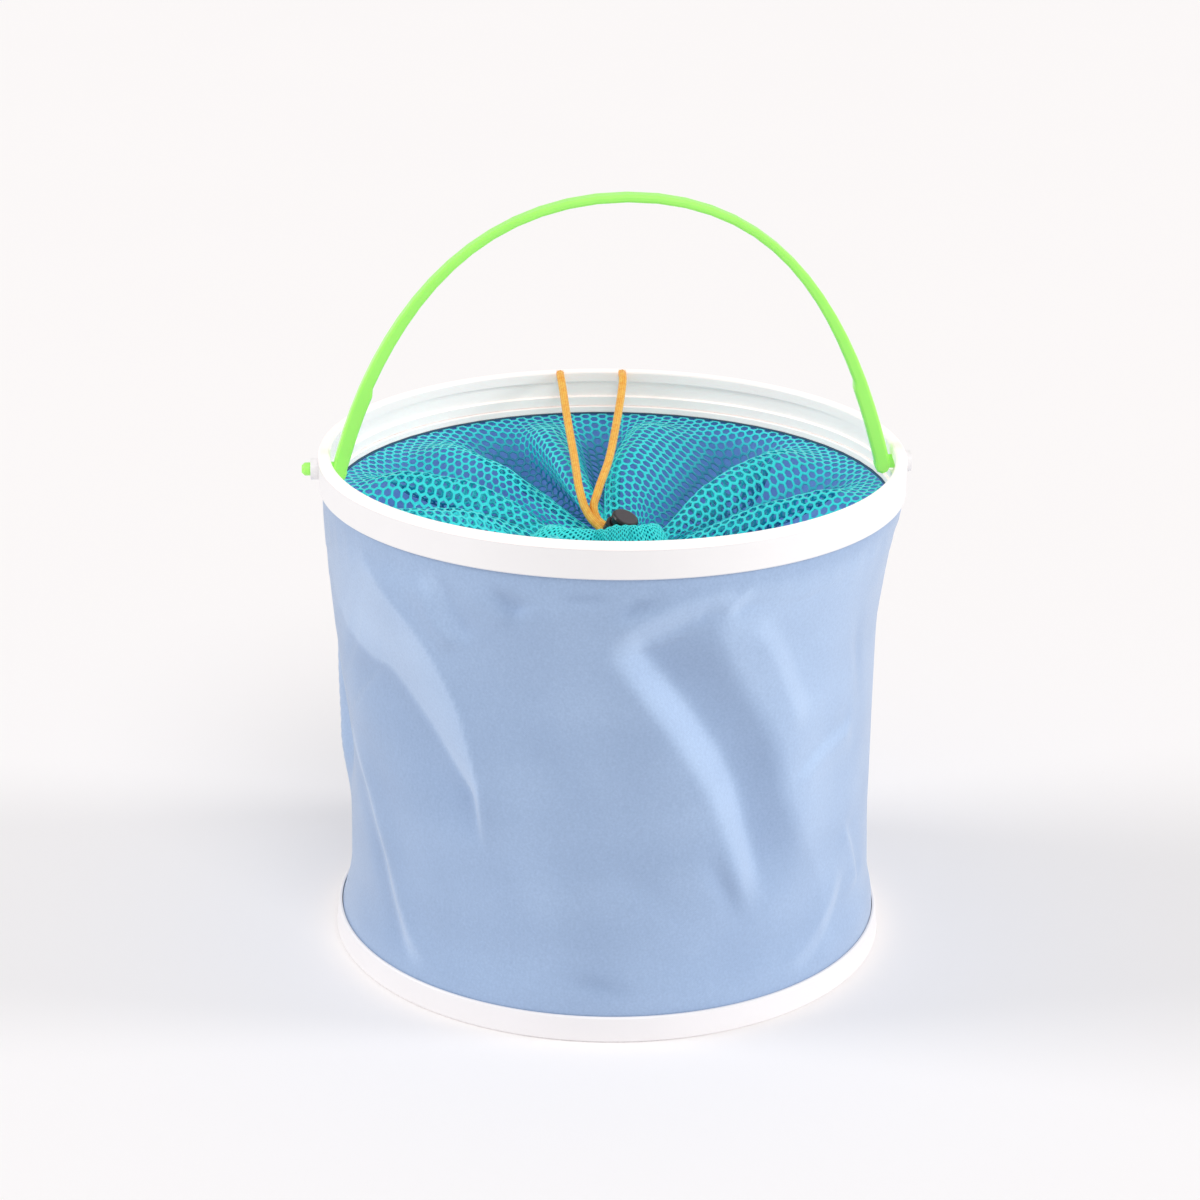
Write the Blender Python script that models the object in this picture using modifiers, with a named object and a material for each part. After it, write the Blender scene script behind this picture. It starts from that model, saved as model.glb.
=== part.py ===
"""Collapsible camp bucket: two clamped plastic rims, a folding fabric wall, a net cover and a bail.

The origin is the centre of the foot ring on the floor, +Z is up, the bail's pins lie along X and
the drawcord is fixed at the back, +Y. Lengths are in metres.
"""
import math

import bmesh
import bpy
from mathutils import Matrix, Vector

# Driving sizes
mm = 0.001

steps_round = 56            # facets of every large ring and of the wall
seat_gap = 0.3 * mm         # between two pieces that seat on each other
weld = 0.01 * mm            # points nearer than this are one point
fine_weld = 0.002 * mm

bucket_height = 228.0 * mm  # floor to the top of the rim's lip
rim_radius = 130.0 * mm     # outside of the rim
foot_inset = 5.0 * mm       # base hoop's top edge, in from the rim's outside
foot_radius = rim_radius - foot_inset

hoop_wall = 1.2 * mm        # plastic thickness of the rim's outer hoop
cloth_thick = 0.4 * mm      # coated fabric of the wall

rim_band_height = 15.5 * mm     # lip top to the lower edge of the outer hoop
lip_height = 2.6 * mm           # lip as seen from outside
lip_round = 1.0 * mm            # rounding of the lip's two top edges
lip_inner_reach = 5.1 * mm      # lip, from outside to inside
lip_inner_height = 5.3 * mm     # lip's inner band, from the top down
recess_reach = 3.4 * mm         # outside of the rim to the recessed inner wall
step_reach = 4.6 * mm           # outside of the rim to the step's inner face
step_top_drop = 13.1 * mm       # lip top to the top of the step
step_low_drop = 17.2 * mm       # lip top to the underside of the step
skirt_low_drop = 20.6 * mm      # lip top to the end of the skirt round the net ring
skirt_wall = 0.8 * mm           # skirt below the step
clamp_height = 4.9 * mm         # depth of the wall's hem between the two hoops
step_slant = 0.5 * mm           # slope on top of the step
band_slant = 0.3 * mm           # slope under the lip's inner band

net_ring_wall = 1.4 * mm
net_ring_height = 3.1 * mm
net_ring_round = 0.4 * mm
binding_thick = 0.4 * mm        # edging of the net, clamped round the net ring
binding_reach = 2.7 * mm        # edging's foot, turned in under the net ring
binding_foot = 0.6 * mm

net_strand = 0.55 * mm          # thickness of the net's strands
net_pleats = 20                 # pleats of the drawn-in net
net_rows = 5                    # rows of gaps from the rim to the gather
net_pleat_depth = 2.4 * mm      # height of a pleat half way in
net_bow = 0.88                  # how much the hanging net bows, 1 is a straight cone

gather_height = 176.5 * mm      # centre of the net's casing over the floor
casing_ring_radius = 12.5 * mm  # centre line of the drawn-in casing
casing_radius = 2.9 * mm        # outside of the casing
casing_bore = 2.1 * mm          # its bore, which the drawcord runs in
casing_mouth = 7.8 * mm         # radius of the mouth the two cord ends leave by
frill_height = 18.5 * mm        # net edge standing up past the casing, at the front
frill_flare = 15.5 * mm         # how far it leans out
frill_thick = 0.7 * mm
frill_low = 2.0 * mm            # its height at the two ends
frill_lobes = 3
frill_wave = 1.9 * mm

cord_radius = 1.6 * mm
cord_pitch = 3.5 * mm           # the two cords, side by side in the lock
cord_slot_x = 15.0 * mm         # each end's slot in the lip, off the middle
cord_slot_depth = 2.9 * mm      # slot, from the lip's inner face outward
cord_step = 7.5 * mm            # spacing of the points along a cord
cord_straight = 1.5 * mm        # the cords leave the lock straight for this length
cord_bend = 9.0 * mm            # and then bend up over this length
cord_lift = 1.2 * mm
cord_drift = 8.4 * mm           # the strands hang off to the left by this

lock_radius = 7.3 * mm
lock_wall = 1.4 * mm
lock_below = 8.2 * mm           # barrel, from the cord hole down
lock_above = 9.2 * mm           # barrel, from the cord hole up
lock_floor = 1.2 * mm
lock_round = 0.7 * mm
lock_fit = 0.3 * mm             # plunger in its barrel
lock_hole_half_width = 4.0 * mm
lock_hole_half_height = 2.5 * mm
lock_tilt_side = math.radians(20.0)
lock_tilt_front = math.radians(17.0)
lock_heading = math.radians(129.2)
lock_off_x = 1.5 * mm           # centre of its cord hole, off the net's middle
lock_off_y = 0.6 * mm
lock_rise = 7.9 * mm            # and over the middle of the casing
button_stroke = 2.0 * mm
button_radius = 6.2 * mm
button_thick = 2.5 * mm
plunger_web = 1.5 * mm          # plunger, below its cord hole
spring_wire = 0.25 * mm
spring_radius = 4.2 * mm
spring_curls = 3
spring_points = 10

foot_hoop_height = 11.2 * mm
foot_wall = 1.4 * mm
foot_draft = 1.2 * mm           # what its outside gains from the top edge down to the floor
foot_round = 0.6 * mm
foot_flange = 9.5 * mm          # foot ring, from outside to inside
foot_flange_thick = 1.6 * mm
floor_thick = 1.0 * mm          # base panel
clamp_ring_wall = 1.2 * mm      # base's inner hoop
clamp_ring_foot = 4.1 * mm
clamp_ring_foot_thick = 1.2 * mm
clamp_ring_height = 6.9 * mm

wall_tuck = 5.1 * mm            # how far the slack wall draws in, half way up
fold_depth = 3.0 * mm           # height of a fold's ridge
fold_width = 12.0 * mm          # its half width
seam_width = 12.0 * mm
seam_thick = 0.4 * mm

pin_drop = 7.7 * mm             # lip top to the pins' axis
hub_radius = 3.1 * mm
neck_radius = 1.9 * mm
head_radius = 2.9 * mm
pin_fit = 0.3 * mm
collar_wall = 1.5 * mm
collar_reach = 3.4 * mm         # collar round each pin, out from the rim
head_floor = 0.1 * mm
left_head_proud = 4.0 * mm      # the left pin's head shows past its collar
right_head_sunk = 0.4 * mm      # the right one ends just inside its collar
hub_pocket_fit = 0.5 * mm
hub_pocket_sunk = 0.3 * mm      # pocket's floor, cut into the recessed inner wall

leg_gap = 6.0 * mm              # outside of the rim to the bail's leg
leg_thick = 6.5 * mm
leg_length = 35.0 * mm
leg_taper_share = 0.010         # taper from the leg to the strap, of the arch
strap_thick = 3.5 * mm
strap_width = 8.0 * mm
strap_swell = 1.8 * mm          # what the strap gains on its inner side toward the legs
swell_share = 0.26              # over this much of the arch
strap_round = 1.1 * mm
foot_below_pin = 5.0 * mm
bail_height = 120.6 * mm        # pins' axis to the middle of the strap's crown
bail_lean = math.radians(14.3)  # the legs lean in at the pins
bail_leg_share = 0.414          # how far the legs stay straight, of the half span
bail_crown_share = 0.642        # how far the crown stays level, of the half span
bail_sway = 5.0 * mm            # set of the soft strap to one side at the crown
bail_points = 26

overrun = 2.0 * mm              # what a cutter reaches past its piece

# Worked out from them
lip_z = bucket_height
pin_z = lip_z - pin_drop
hoop_bottom = lip_z - rim_band_height
hoop_top = lip_z - lip_height - seat_gap
hoop_inner = rim_radius - hoop_wall
shoulder = hoop_inner - seat_gap                      # inner hoop, above the hem
hem_outer = hoop_inner - seat_gap
hem_inner = hem_outer - cloth_thick
skirt_outer = hem_inner - seat_gap                    # inner hoop, beside and below the hem
hem_top = hoop_bottom + clamp_height
skirt_bottom = lip_z - skirt_low_drop
skirt_inner = skirt_outer - skirt_wall
step_low = lip_z - step_low_drop
ring_top = step_low - seat_gap
ring_bottom = ring_top - net_ring_height
binding_outer = skirt_inner - seat_gap
binding_inner = binding_outer - binding_thick
ring_outer = binding_inner - seat_gap
ring_inner = ring_outer - net_ring_wall

foot_inner = foot_radius - foot_wall
foot_hem_outer = foot_inner - seat_gap
foot_hem_inner = foot_hem_outer - cloth_thick
clamp_outer = foot_hem_inner - seat_gap
clamp_inner = clamp_outer - clamp_ring_wall
floor_low = foot_flange_thick + seat_gap
floor_top = floor_low + floor_thick
clamp_low = floor_top + seat_gap
clamp_top = clamp_low + clamp_ring_height
wall_bottom = foot_flange_thick + seat_gap

net_edge_z = ring_bottom - seat_gap - binding_foot / 2
net_outer = binding_outer - binding_reach - seat_gap - net_strand / 2
net_inner = casing_ring_radius + casing_radius + seat_gap + net_strand

lock_centre = Vector((lock_off_x, lock_off_y, gather_height + lock_rise))
wall_waist = foot_radius - wall_tuck                  # mean radius of the wall half way up
leg_outer = rim_radius - leg_gap
strap_half = strap_thick / 2
bail_half = leg_outer - strap_half

# Scene
for old in list(bpy.data.objects):
    bpy.data.objects.remove(old, do_unlink=True)

parts = bpy.data.collections.new("collapsible_camp_bucket")
cutters = bpy.data.collections.new("cutters")
bpy.context.scene.collection.children.link(parts)
bpy.context.scene.collection.children.link(cutters)


def material(name, colour, roughness, metallic=0.0):
    mat = bpy.data.materials.new(name)
    mat.use_nodes = True
    shader = mat.node_tree.nodes["Principled BSDF"]
    shader.inputs["Base Color"].default_value = (*colour, 1.0)
    shader.inputs["Roughness"].default_value = roughness
    shader.inputs["Metallic"].default_value = metallic
    mat.diffuse_color = (*colour, 1.0)
    return mat


white_rgb = (0.90, 0.90, 0.91)
cloth_rgb = (0.38, 0.50, 0.74)
net_rgb = (0.02, 0.46, 0.55)
green_rgb = (0.28, 0.86, 0.12)
orange_rgb = (0.93, 0.42, 0.05)
black_rgb = (0.015, 0.013, 0.015)


def place(obj, group=parts):
    group.objects.link(obj)
    return obj


def mesh_object(name, mesh, mat=None, group=parts):
    obj = bpy.data.objects.new(name, mesh)
    if mat is not None:
        mesh.materials.append(mat)
    return place(obj, group)


def smooth(obj, angle=40.0):
    obj.data.shade_smooth()
    obj.data.set_sharp_from_angle(angle=math.radians(angle))


def cutter(obj):
    obj.hide_render = True
    obj.display_type = "WIRE"
    return obj


def turned(name, profile, mat=None, steps=steps_round, group=parts):
    """A closed (radius, height) profile turned round Z."""
    mesh = bpy.data.meshes.new(name)
    verts = [(r, 0.0, z) for r, z in profile]
    count = len(profile)
    mesh.from_pydata(verts, [(i, (i + 1) % count) for i in range(count)], [])
    obj = mesh_object(name, mesh, mat, group)
    screw = obj.modifiers.new("turn", "SCREW")
    screw.axis = "Z"
    screw.angle = math.tau
    screw.steps = steps
    screw.render_steps = steps
    screw.use_merge_vertices = True
    screw.merge_threshold = weld
    screw.use_smooth_shade = True
    return obj


def applied(obj, angle=35.0):
    """The object with its modifiers made into its mesh."""
    bpy.context.view_layer.update()
    graph = bpy.context.evaluated_depsgraph_get()
    mesh = bpy.data.meshes.new_from_object(obj.evaluated_get(graph))
    bm = bmesh.new()
    bm.from_mesh(mesh)
    bmesh.ops.remove_doubles(bm, verts=bm.verts, dist=fine_weld)
    bmesh.ops.recalc_face_normals(bm, faces=bm.faces)
    bm.to_mesh(mesh)
    bm.free()
    group = obj.users_collection[0]
    made = bpy.data.objects.new(obj.name, mesh)
    name = obj.name
    made.matrix_world = obj.matrix_world.copy()
    bpy.data.objects.remove(obj, do_unlink=True)
    made.name = name
    group.objects.link(made)
    smooth(made, angle)
    return made


def boolean(obj, tool, operation="DIFFERENCE"):
    mod = obj.modifiers.new(tool.name, "BOOLEAN")
    mod.operation = operation
    mod.object = tool
    mod.solver = "EXACT"
    return mod


def rod(name, radius, start, end, sides=24, group=cutters, mat=None):
    """A cylinder between two points."""
    start = Vector(start)
    end = Vector(end)
    mesh = bpy.data.meshes.new(name)
    bm = bmesh.new()
    bmesh.ops.create_cone(bm, cap_ends=True, segments=sides, radius1=radius, radius2=radius,
                          depth=(end - start).length)
    bm.to_mesh(mesh)
    bm.free()
    obj = mesh_object(name, mesh, mat, group)
    turn = (end - start).to_track_quat("Z", "X").to_matrix().to_4x4()
    obj.matrix_world = Matrix.Translation((start + end) / 2) @ turn
    return cutter(obj) if group is cutters else obj


def block(name, size, centre, turn=None):
    mesh = bpy.data.meshes.new(name)
    bm = bmesh.new()
    bmesh.ops.create_cube(bm, size=1.0, matrix=Matrix.Diagonal((*size, 1.0)))
    bm.to_mesh(mesh)
    bm.free()
    obj = mesh_object(name, mesh, None, cutters)
    obj.matrix_world = Matrix.Translation(centre) @ (turn or Matrix.Identity(4))
    return cutter(obj)


def tube(name, points, radius, mat, resolution=2):
    """A round cord or wire through the points, with closed ends."""
    curve = bpy.data.curves.new(name, "CURVE")
    curve.dimensions = "3D"
    curve.bevel_depth = radius
    curve.bevel_resolution = resolution
    curve.use_fill_caps = True
    spline = curve.splines.new("POLY")
    spline.points.add(len(points) - 1)
    for point, place_at in zip(spline.points, points):
        point.co = (*place_at, 1.0)
    curve.materials.append(mat)
    return place(bpy.data.objects.new(name, curve))


def smooth_route(knots, spacing):
    """Points at even spacing along a smooth curve through the knots."""
    knots = [Vector(k) for k in knots]
    ends = [2 * knots[0] - knots[1]] + knots + [2 * knots[-1] - knots[-2]]
    fine = []
    per_span = 24
    for a, b, c, d in zip(ends, ends[1:], ends[2:], ends[3:]):
        for i in range(per_span):
            t = i / per_span
            fine.append(0.5 * (2 * b + (c - a) * t + (2 * a - 5 * b + 4 * c - d) * t * t
                               + (3 * b - a - 3 * c + d) * t ** 3))
    fine.append(knots[-1])
    lengths = [0.0]
    for p, q in zip(fine, fine[1:]):
        lengths.append(lengths[-1] + (q - p).length)
    count = max(4, round(lengths[-1] / spacing))
    out = []
    at = 0
    for i in range(count + 1):
        want = lengths[-1] * i / count
        while at < len(fine) - 2 and lengths[at + 1] < want:
            at += 1
        span = lengths[at + 1] - lengths[at]
        out.append(fine[at].lerp(fine[at + 1], (want - lengths[at]) / span if span else 0.0))
    return out, lengths[-1]


def empty(name, matrix):
    obj = place(bpy.data.objects.new(name, None))
    obj.matrix_world = matrix
    return obj


def hang(obj, parent):
    """Parents an object without moving it."""
    bpy.context.view_layer.update()
    world = obj.matrix_world.copy()
    obj.parent = parent
    obj.matrix_parent_inverse = parent.matrix_world.inverted()
    obj.matrix_world = world


# Base
white_base = material("base_white", white_rgb, 0.42)
base_outer_hoop = turned("base_outer_hoop", [
    (foot_inner, foot_hoop_height),
    (foot_radius - foot_round, foot_hoop_height),
    (foot_radius, foot_hoop_height - foot_round),
    (foot_radius + foot_draft, foot_round),
    (foot_radius + foot_draft - foot_round, 0.0),
    (foot_radius - foot_flange, 0.0),
    (foot_radius - foot_flange, foot_flange_thick),
    (foot_inner, foot_flange_thick),
], white_base)
applied(base_outer_hoop)

base_inner_hoop = turned("base_inner_hoop", [
    (clamp_outer, clamp_top),
    (clamp_outer, clamp_low),
    (clamp_outer - clamp_ring_foot, clamp_low),
    (clamp_outer - clamp_ring_foot, clamp_low + clamp_ring_foot_thick),
    (clamp_inner, clamp_low + clamp_ring_foot_thick),
    (clamp_inner, clamp_top),
], material("base_inner_white", white_rgb, 0.45))
applied(base_inner_hoop)

panel_mesh = bpy.data.meshes.new("base_panel")
bm = bmesh.new()
bmesh.ops.create_cone(bm, cap_ends=True, segments=steps_round, radius1=clamp_outer,
                      radius2=clamp_outer, depth=floor_thick)
bm.to_mesh(panel_mesh)
bm.free()
base_panel = mesh_object("base_panel", panel_mesh, material("panel_blue", cloth_rgb, 0.6))
base_panel.location.z = floor_low + floor_thick / 2

# Wall with its main folds
# Each fold is a ridge across the wall: angle from the front and height at its two ends, both as
# shares (of a half turn, and of the free wall), then its depth and its half width.
fold_shares = [
    (-0.50, 0.76, -0.13, 0.40),
    (0.00, 0.86, 0.17, 0.22),
    (0.08, 0.93, 0.26, 0.55),
    (-0.39, 0.48, -0.31, 0.20),
    (0.36, 0.74, 0.50, 0.24),
    (-0.20, 0.80, 0.02, 0.52),
    (-0.98, 0.80, -0.74, 0.34),
    (-0.70, 0.86, -0.52, 0.40),
    (0.62, 0.84, 0.80, 0.30),
    (0.84, 0.62, 0.99, 0.28),
]
wall_low = foot_hoop_height
wall_high = skirt_bottom - seat_gap
top_mid = (hem_outer + hem_inner) / 2
foot_mid = (foot_hem_outer + foot_hem_inner) / 2
flare_top_share = 0.30      # of the free wall's height, under the rim
flare_foot_share = 0.13     # of the free wall's height, over the foot


def ease(t):
    t = min(1.0, max(0.0, t))
    return t * t * (3.0 - 2.0 * t)


def fold_offset(angle, z):
    """Sum of the folds' ridges and of the hollows beside them."""
    total = 0.0
    high = wall_high - wall_low
    for a0, s0, a1, s1 in fold_shares:
        start = Vector((a0 * math.pi * wall_waist, s0 * high))
        end = Vector((a1 * math.pi * wall_waist, s1 * high))
        run = end - start
        turn = math.tau * wall_waist
        across = angle * wall_waist - start.x
        across -= turn * round((across - run.x / 2) / turn)
        here = Vector((across, z - wall_low - start.y))
        along = here.dot(run) / run.length_squared
        away = abs(run.x * here.y - run.y * here.x) / run.length
        fade = ease((along + 0.25) / 0.35) * ease((1.25 - along) / 0.35)
        ridge = math.exp(-(away / fold_width) ** 2)
        hollow = math.exp(-((away - 2.0 * fold_width) / fold_width) ** 2)
        total += fade * fold_depth * (ridge - 0.5 * hollow)
    off_seam = (math.pi - abs(angle - math.tau * round(angle / math.tau))) * wall_waist
    return total * ease((off_seam - seam_width) / (4.0 * seam_width))


def wall_mid(angle, z):
    """Mid radius of the wall. The angle runs from the front, toward +X."""
    high = wall_high - wall_low
    share = (z - wall_low) / high
    if share >= 1.0:
        return top_mid
    if share <= 0.0:
        return foot_mid
    top = ease((share - (1.0 - flare_top_share)) / flare_top_share)
    foot = ease((flare_foot_share - share) / flare_foot_share)
    radius = wall_waist + (top_mid - wall_waist) * top + (foot_mid - wall_waist) * foot
    free = (1.0 - ease((share - 0.80) / 0.20)) * ease(share / 0.12)
    return radius + fold_offset(angle, z) * free


wall_row_shares = (0.14, 0.30, 0.47, 0.64, 0.82)
wall_rows = [wall_bottom, wall_low - seat_gap]
wall_rows += [wall_low + s * (wall_high - wall_low) for s in wall_row_shares]
wall_rows += [wall_high, hem_top]


def wall_facet(angle, z):
    """The wall's point at an angle and a height, on its flat facets."""
    facet = math.tau / steps_round
    first = math.floor(angle / facet + 0.001)
    part_way = angle / facet - first
    low = max(i for i, row in enumerate(wall_rows[:-1]) if row <= z + fine_weld)
    rise = (z - wall_rows[low]) / (wall_rows[low + 1] - wall_rows[low])
    line = []
    for row in (wall_rows[low], wall_rows[low + 1]):
        ends = []
        for corner in (first * facet, (first + 1) * facet):
            radius = wall_mid(corner, row)
            ends.append(Vector((radius * math.sin(corner), -radius * math.cos(corner), row)))
        line.append(ends[0].lerp(ends[1], part_way))
    return line[0].lerp(line[1], rise)


def wall_sheet(name, angles, rows, offset, thick, closed, mat):
    """A grid that follows the wall, made a shell."""
    mesh = bpy.data.meshes.new(name)
    bm = bmesh.new()
    grid = []
    for z in rows:
        line = []
        for angle in angles:
            point = wall_facet(angle, z)
            outward = Vector((math.sin(angle), -math.cos(angle), 0.0))
            line.append(bm.verts.new(point + outward * offset))
        grid.append(line)
    count = len(angles)
    for low, high in zip(grid, grid[1:]):
        for i in range(count if closed else count - 1):
            j = (i + 1) % count
            bm.faces.new((low[i], low[j], high[j], high[i]))
    bm.to_mesh(mesh)
    bm.free()
    obj = mesh_object(name, mesh, mat)
    shell = obj.modifiers.new("cloth", "SOLIDIFY")
    shell.thickness = thick
    shell.offset = 0.0
    shell.use_even_offset = True
    made = applied(obj, 180.0)
    return made


round_angles = [math.tau * i / steps_round for i in range(steps_round)]
wall_fabric = wall_sheet("wall_fabric", round_angles, wall_rows, 0.0, cloth_thick, True,
                         material("wall_cloth", cloth_rgb, 0.72))

seam_half = seam_width / 2 / wall_waist
seam_angles = [math.pi - seam_half, math.pi, math.pi + seam_half]
seam_rows = [wall_low + seat_gap] + wall_rows[2:-2]
seam_rows += [wall_high, hoop_bottom - seat_gap]
wall_seam_tape = wall_sheet("wall_seam_tape", seam_angles, seam_rows,
                            cloth_thick / 2 + seat_gap + seam_thick / 2, seam_thick, False,
                            material("seam_tape", cloth_rgb, 0.6))

# Rim
white_rim = material("rim_white", white_rgb, 0.40)
rim_outer_hoop = turned("rim_outer_hoop", [
    (rim_radius, hoop_top),
    (rim_radius, hoop_bottom + foot_round),
    (rim_radius - foot_round, hoop_bottom),
    (hoop_inner, hoop_bottom),
    (hoop_inner, hoop_top),
], white_rim)

lip_inner = rim_radius - lip_inner_reach
recess = rim_radius - recess_reach
step_inner = rim_radius - step_reach
rim_inner_hoop = turned("rim_inner_hoop", [
    (rim_radius - lip_round, lip_z),
    (rim_radius - 0.3 * lip_round, lip_z - 0.3 * lip_round),
    (rim_radius, lip_z - lip_round),
    (rim_radius, lip_z - lip_height),
    (shoulder, lip_z - lip_height),
    (shoulder, hem_top + seat_gap),
    (skirt_outer, hem_top + seat_gap),
    (skirt_outer, skirt_bottom),
    (skirt_inner, skirt_bottom),
    (skirt_inner, step_low),
    (step_inner, step_low),
    (step_inner, lip_z - step_top_drop),
    (recess, lip_z - step_top_drop + step_slant),
    (recess, lip_z - lip_inner_height),
    (lip_inner, lip_z - lip_inner_height + band_slant),
    (lip_inner, lip_z - lip_round),
    (lip_inner + 0.3 * lip_round, lip_z - 0.3 * lip_round),
    (lip_inner + lip_round, lip_z),
], material("rim_inner_white", white_rgb, 0.40))

net_ring = turned("net_ring", [
    (ring_outer, ring_top),
    (ring_outer, ring_bottom),
    (ring_inner + net_ring_round, ring_bottom),
    (ring_inner, ring_bottom + net_ring_round),
    (ring_inner, ring_top - net_ring_round),
    (ring_inner + net_ring_round, ring_top),
], material("net_ring_white", white_rgb, 0.42))
applied(net_ring)

foot_z = ring_bottom - seat_gap
net_binding = turned("net_binding", [
    (binding_outer, ring_top - seat_gap),
    (binding_outer, foot_z - binding_foot),
    (binding_outer - binding_reach, foot_z - binding_foot),
    (binding_outer - binding_reach, foot_z),
    (binding_inner, foot_z),
    (binding_inner, ring_top - seat_gap),
], material("binding_teal", net_rgb, 0.7))
applied(net_binding)

# pins' collars on the outer hoop, the pins' holes and the pockets for their hubs
collar_bore = head_radius + pin_fit
for side, word in ((-1, "left"), (1, "right")):
    start = (side * (rim_radius - hoop_wall / 2), 0.0, pin_z)
    collar = rod("collar_" + word, collar_bore + collar_wall, start,
                 (side * (rim_radius + collar_reach), 0.0, pin_z), 28)
    boolean(rim_outer_hoop, collar, "UNION")
    bore = rod("collar_bore_" + word, collar_bore,
               (side * (rim_radius + head_floor), 0.0, pin_z),
               (side * (rim_radius + collar_reach + overrun), 0.0, pin_z), 24)
    boolean(rim_outer_hoop, bore)
    hole = rod("pin_hole_" + word, neck_radius + pin_fit,
               (side * (recess - overrun), 0.0, pin_z),
               (side * (rim_radius + overrun / 2), 0.0, pin_z), 20)
    boolean(rim_outer_hoop, hole)
    boolean(rim_inner_hoop, hole)
    pocket = rod("hub_pocket_" + word, hub_radius + hub_pocket_fit,
                 (side * (lip_inner - overrun), 0.0, pin_z),
                 (side * (recess + hub_pocket_sunk), 0.0, pin_z), 24)
    boolean(rim_inner_hoop, pocket)

# two slots in the lip's inner edge, where the drawcord's ends are fixed
slot_z = lip_z - cord_radius
slot_end = math.sqrt((lip_inner + cord_slot_depth) ** 2 - cord_slot_x ** 2)
slot_open = math.sqrt(lip_inner ** 2 - cord_slot_x ** 2)
for side, word in ((-1, "left"), (1, "right")):
    slot = rod("cord_slot_" + word, cord_radius + seat_gap,
               (side * cord_slot_x, slot_open - overrun, slot_z),
               (side * cord_slot_x, slot_end, slot_z), 16)
    boolean(rim_inner_hoop, slot)
    mouth = block("cord_slot_mouth_" + word,
                  (2 * (cord_radius + seat_gap), slot_end - slot_open + overrun,
                   cord_radius + overrun),
                  (side * cord_slot_x, (slot_end + slot_open - overrun) / 2,
                   slot_z + (cord_radius + overrun) / 2))
    boolean(rim_inner_hoop, mouth)
rim_outer_hoop = applied(rim_outer_hoop)
rim_inner_hoop = applied(rim_inner_hoop)

# Net cover
teal = material("net_teal", net_rgb, 0.65)


def net_point(column, row):
    """A knot of the drawn-in net: pleats grow from nothing at the rim toward the gather."""
    share = row / net_rows
    radius = net_outer + (net_inner - net_outer) * share ** 0.93
    inward = max(0.0, (radius - net_inner) / (net_outer - net_inner))
    z = gather_height + (net_edge_z - gather_height) * inward ** net_bow
    lift = net_pleat_depth * ease(share / 0.45) * (1.0 - 0.55 * ease((share - 0.7) / 0.3))
    angle = math.pi * column / net_pleats
    return Vector((radius * math.cos(angle), radius * math.sin(angle),
                   z + lift * (1 if column % 2 else -1) / 2))


net_mesh = bpy.data.meshes.new("net_cover")
bm = bmesh.new()
columns = 2 * net_pleats
knots = [[bm.verts.new(net_point(c, r)) for c in range(columns)] for r in range(net_rows + 1)]
for outer, inner in zip(knots, knots[1:]):
    for c in range(columns):
        d = (c + 1) % columns
        bm.faces.new((outer[c], outer[d], inner[d], inner[c]))
bm.to_mesh(net_mesh)
bm.free()
net_cover = mesh_object("net_cover", net_mesh, teal)
wires = net_cover.modifiers.new("strands", "WIREFRAME")
wires.thickness = net_strand
wires.use_even_offset = False
wires.use_relative_offset = False
wires.use_replace = True
wires.use_boundary = True
net_cover = applied(net_cover, 180.0)

# Gathered casing and frill
heading = lock_heading - math.pi


def torus(name, ring, radius, rings, sides, mat=None, group=parts):
    bpy.ops.mesh.primitive_torus_add(major_radius=ring, minor_radius=radius,
                                     major_segments=rings, minor_segments=sides,
                                     location=(0.0, 0.0, gather_height))
    obj = bpy.context.active_object
    obj.name = name
    obj.data.name = name
    for owner in list(obj.users_collection):
        owner.objects.unlink(obj)
    if mat is not None:
        obj.data.materials.append(mat)
    place(obj, group)
    return cutter(obj) if group is cutters else obj


net_casing = torus("net_casing", casing_ring_radius, casing_radius, 28, 9,
                   material("casing_teal", net_rgb, 0.75))
boolean(net_casing, torus("casing_bore", casing_ring_radius, casing_bore, 28, 8, None, cutters))
mouth_at = Vector((math.cos(heading), math.sin(heading), 0.0)) * casing_ring_radius
mouth_at.z = gather_height
mouth_turn = Vector((-math.cos(heading), -math.sin(heading), 1.0)).normalized()
boolean(net_casing, rod("casing_mouth", casing_mouth, mouth_at,
                        mouth_at + mouth_turn * (casing_radius + overrun), 16))
net_casing = applied(net_casing)

frill_columns = 40
frill_rows = 4
frill_start = math.radians(-212.0)
frill_sweep = math.radians(230.0)


def frill_point(column, row):
    """A point of the frill: tallest at the front, its edge waved into lobes."""
    along = column / frill_columns
    angle = frill_start + frill_sweep * along
    tall = ease(4.0 * along) * ease(4.0 * (1.0 - along))
    up = row / frill_rows
    wave = math.cos(math.tau * frill_lobes * along)
    radius = casing_ring_radius + frill_flare * tall * up ** 1.3
    radius += frill_wave * wave * up * tall
    height = seat_gap + frill_thick / 2 + (frill_low + frill_height * tall) * up
    height *= 1.0 - 0.10 * up * (1.0 - wave)
    return Vector((radius * math.cos(angle), radius * math.sin(angle),
                   gather_height + casing_radius + height))


frill_mesh = bpy.data.meshes.new("net_frill")
bm = bmesh.new()
knots = [[bm.verts.new(frill_point(c, r)) for c in range(frill_columns + 1)]
         for r in range(frill_rows + 1)]
for low, high in zip(knots, knots[1:]):
    for c in range(frill_columns):
        bm.faces.new((low[c], low[c + 1], high[c + 1], high[c]))
bm.to_mesh(frill_mesh)
bm.free()
net_frill = mesh_object("net_frill", frill_mesh, material("frill_teal", net_rgb, 0.7))
shell = net_frill.modifiers.new("cloth", "SOLIDIFY")
shell.thickness = frill_thick
shell.offset = 0.0
net_frill = applied(net_frill, 180.0)

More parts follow.
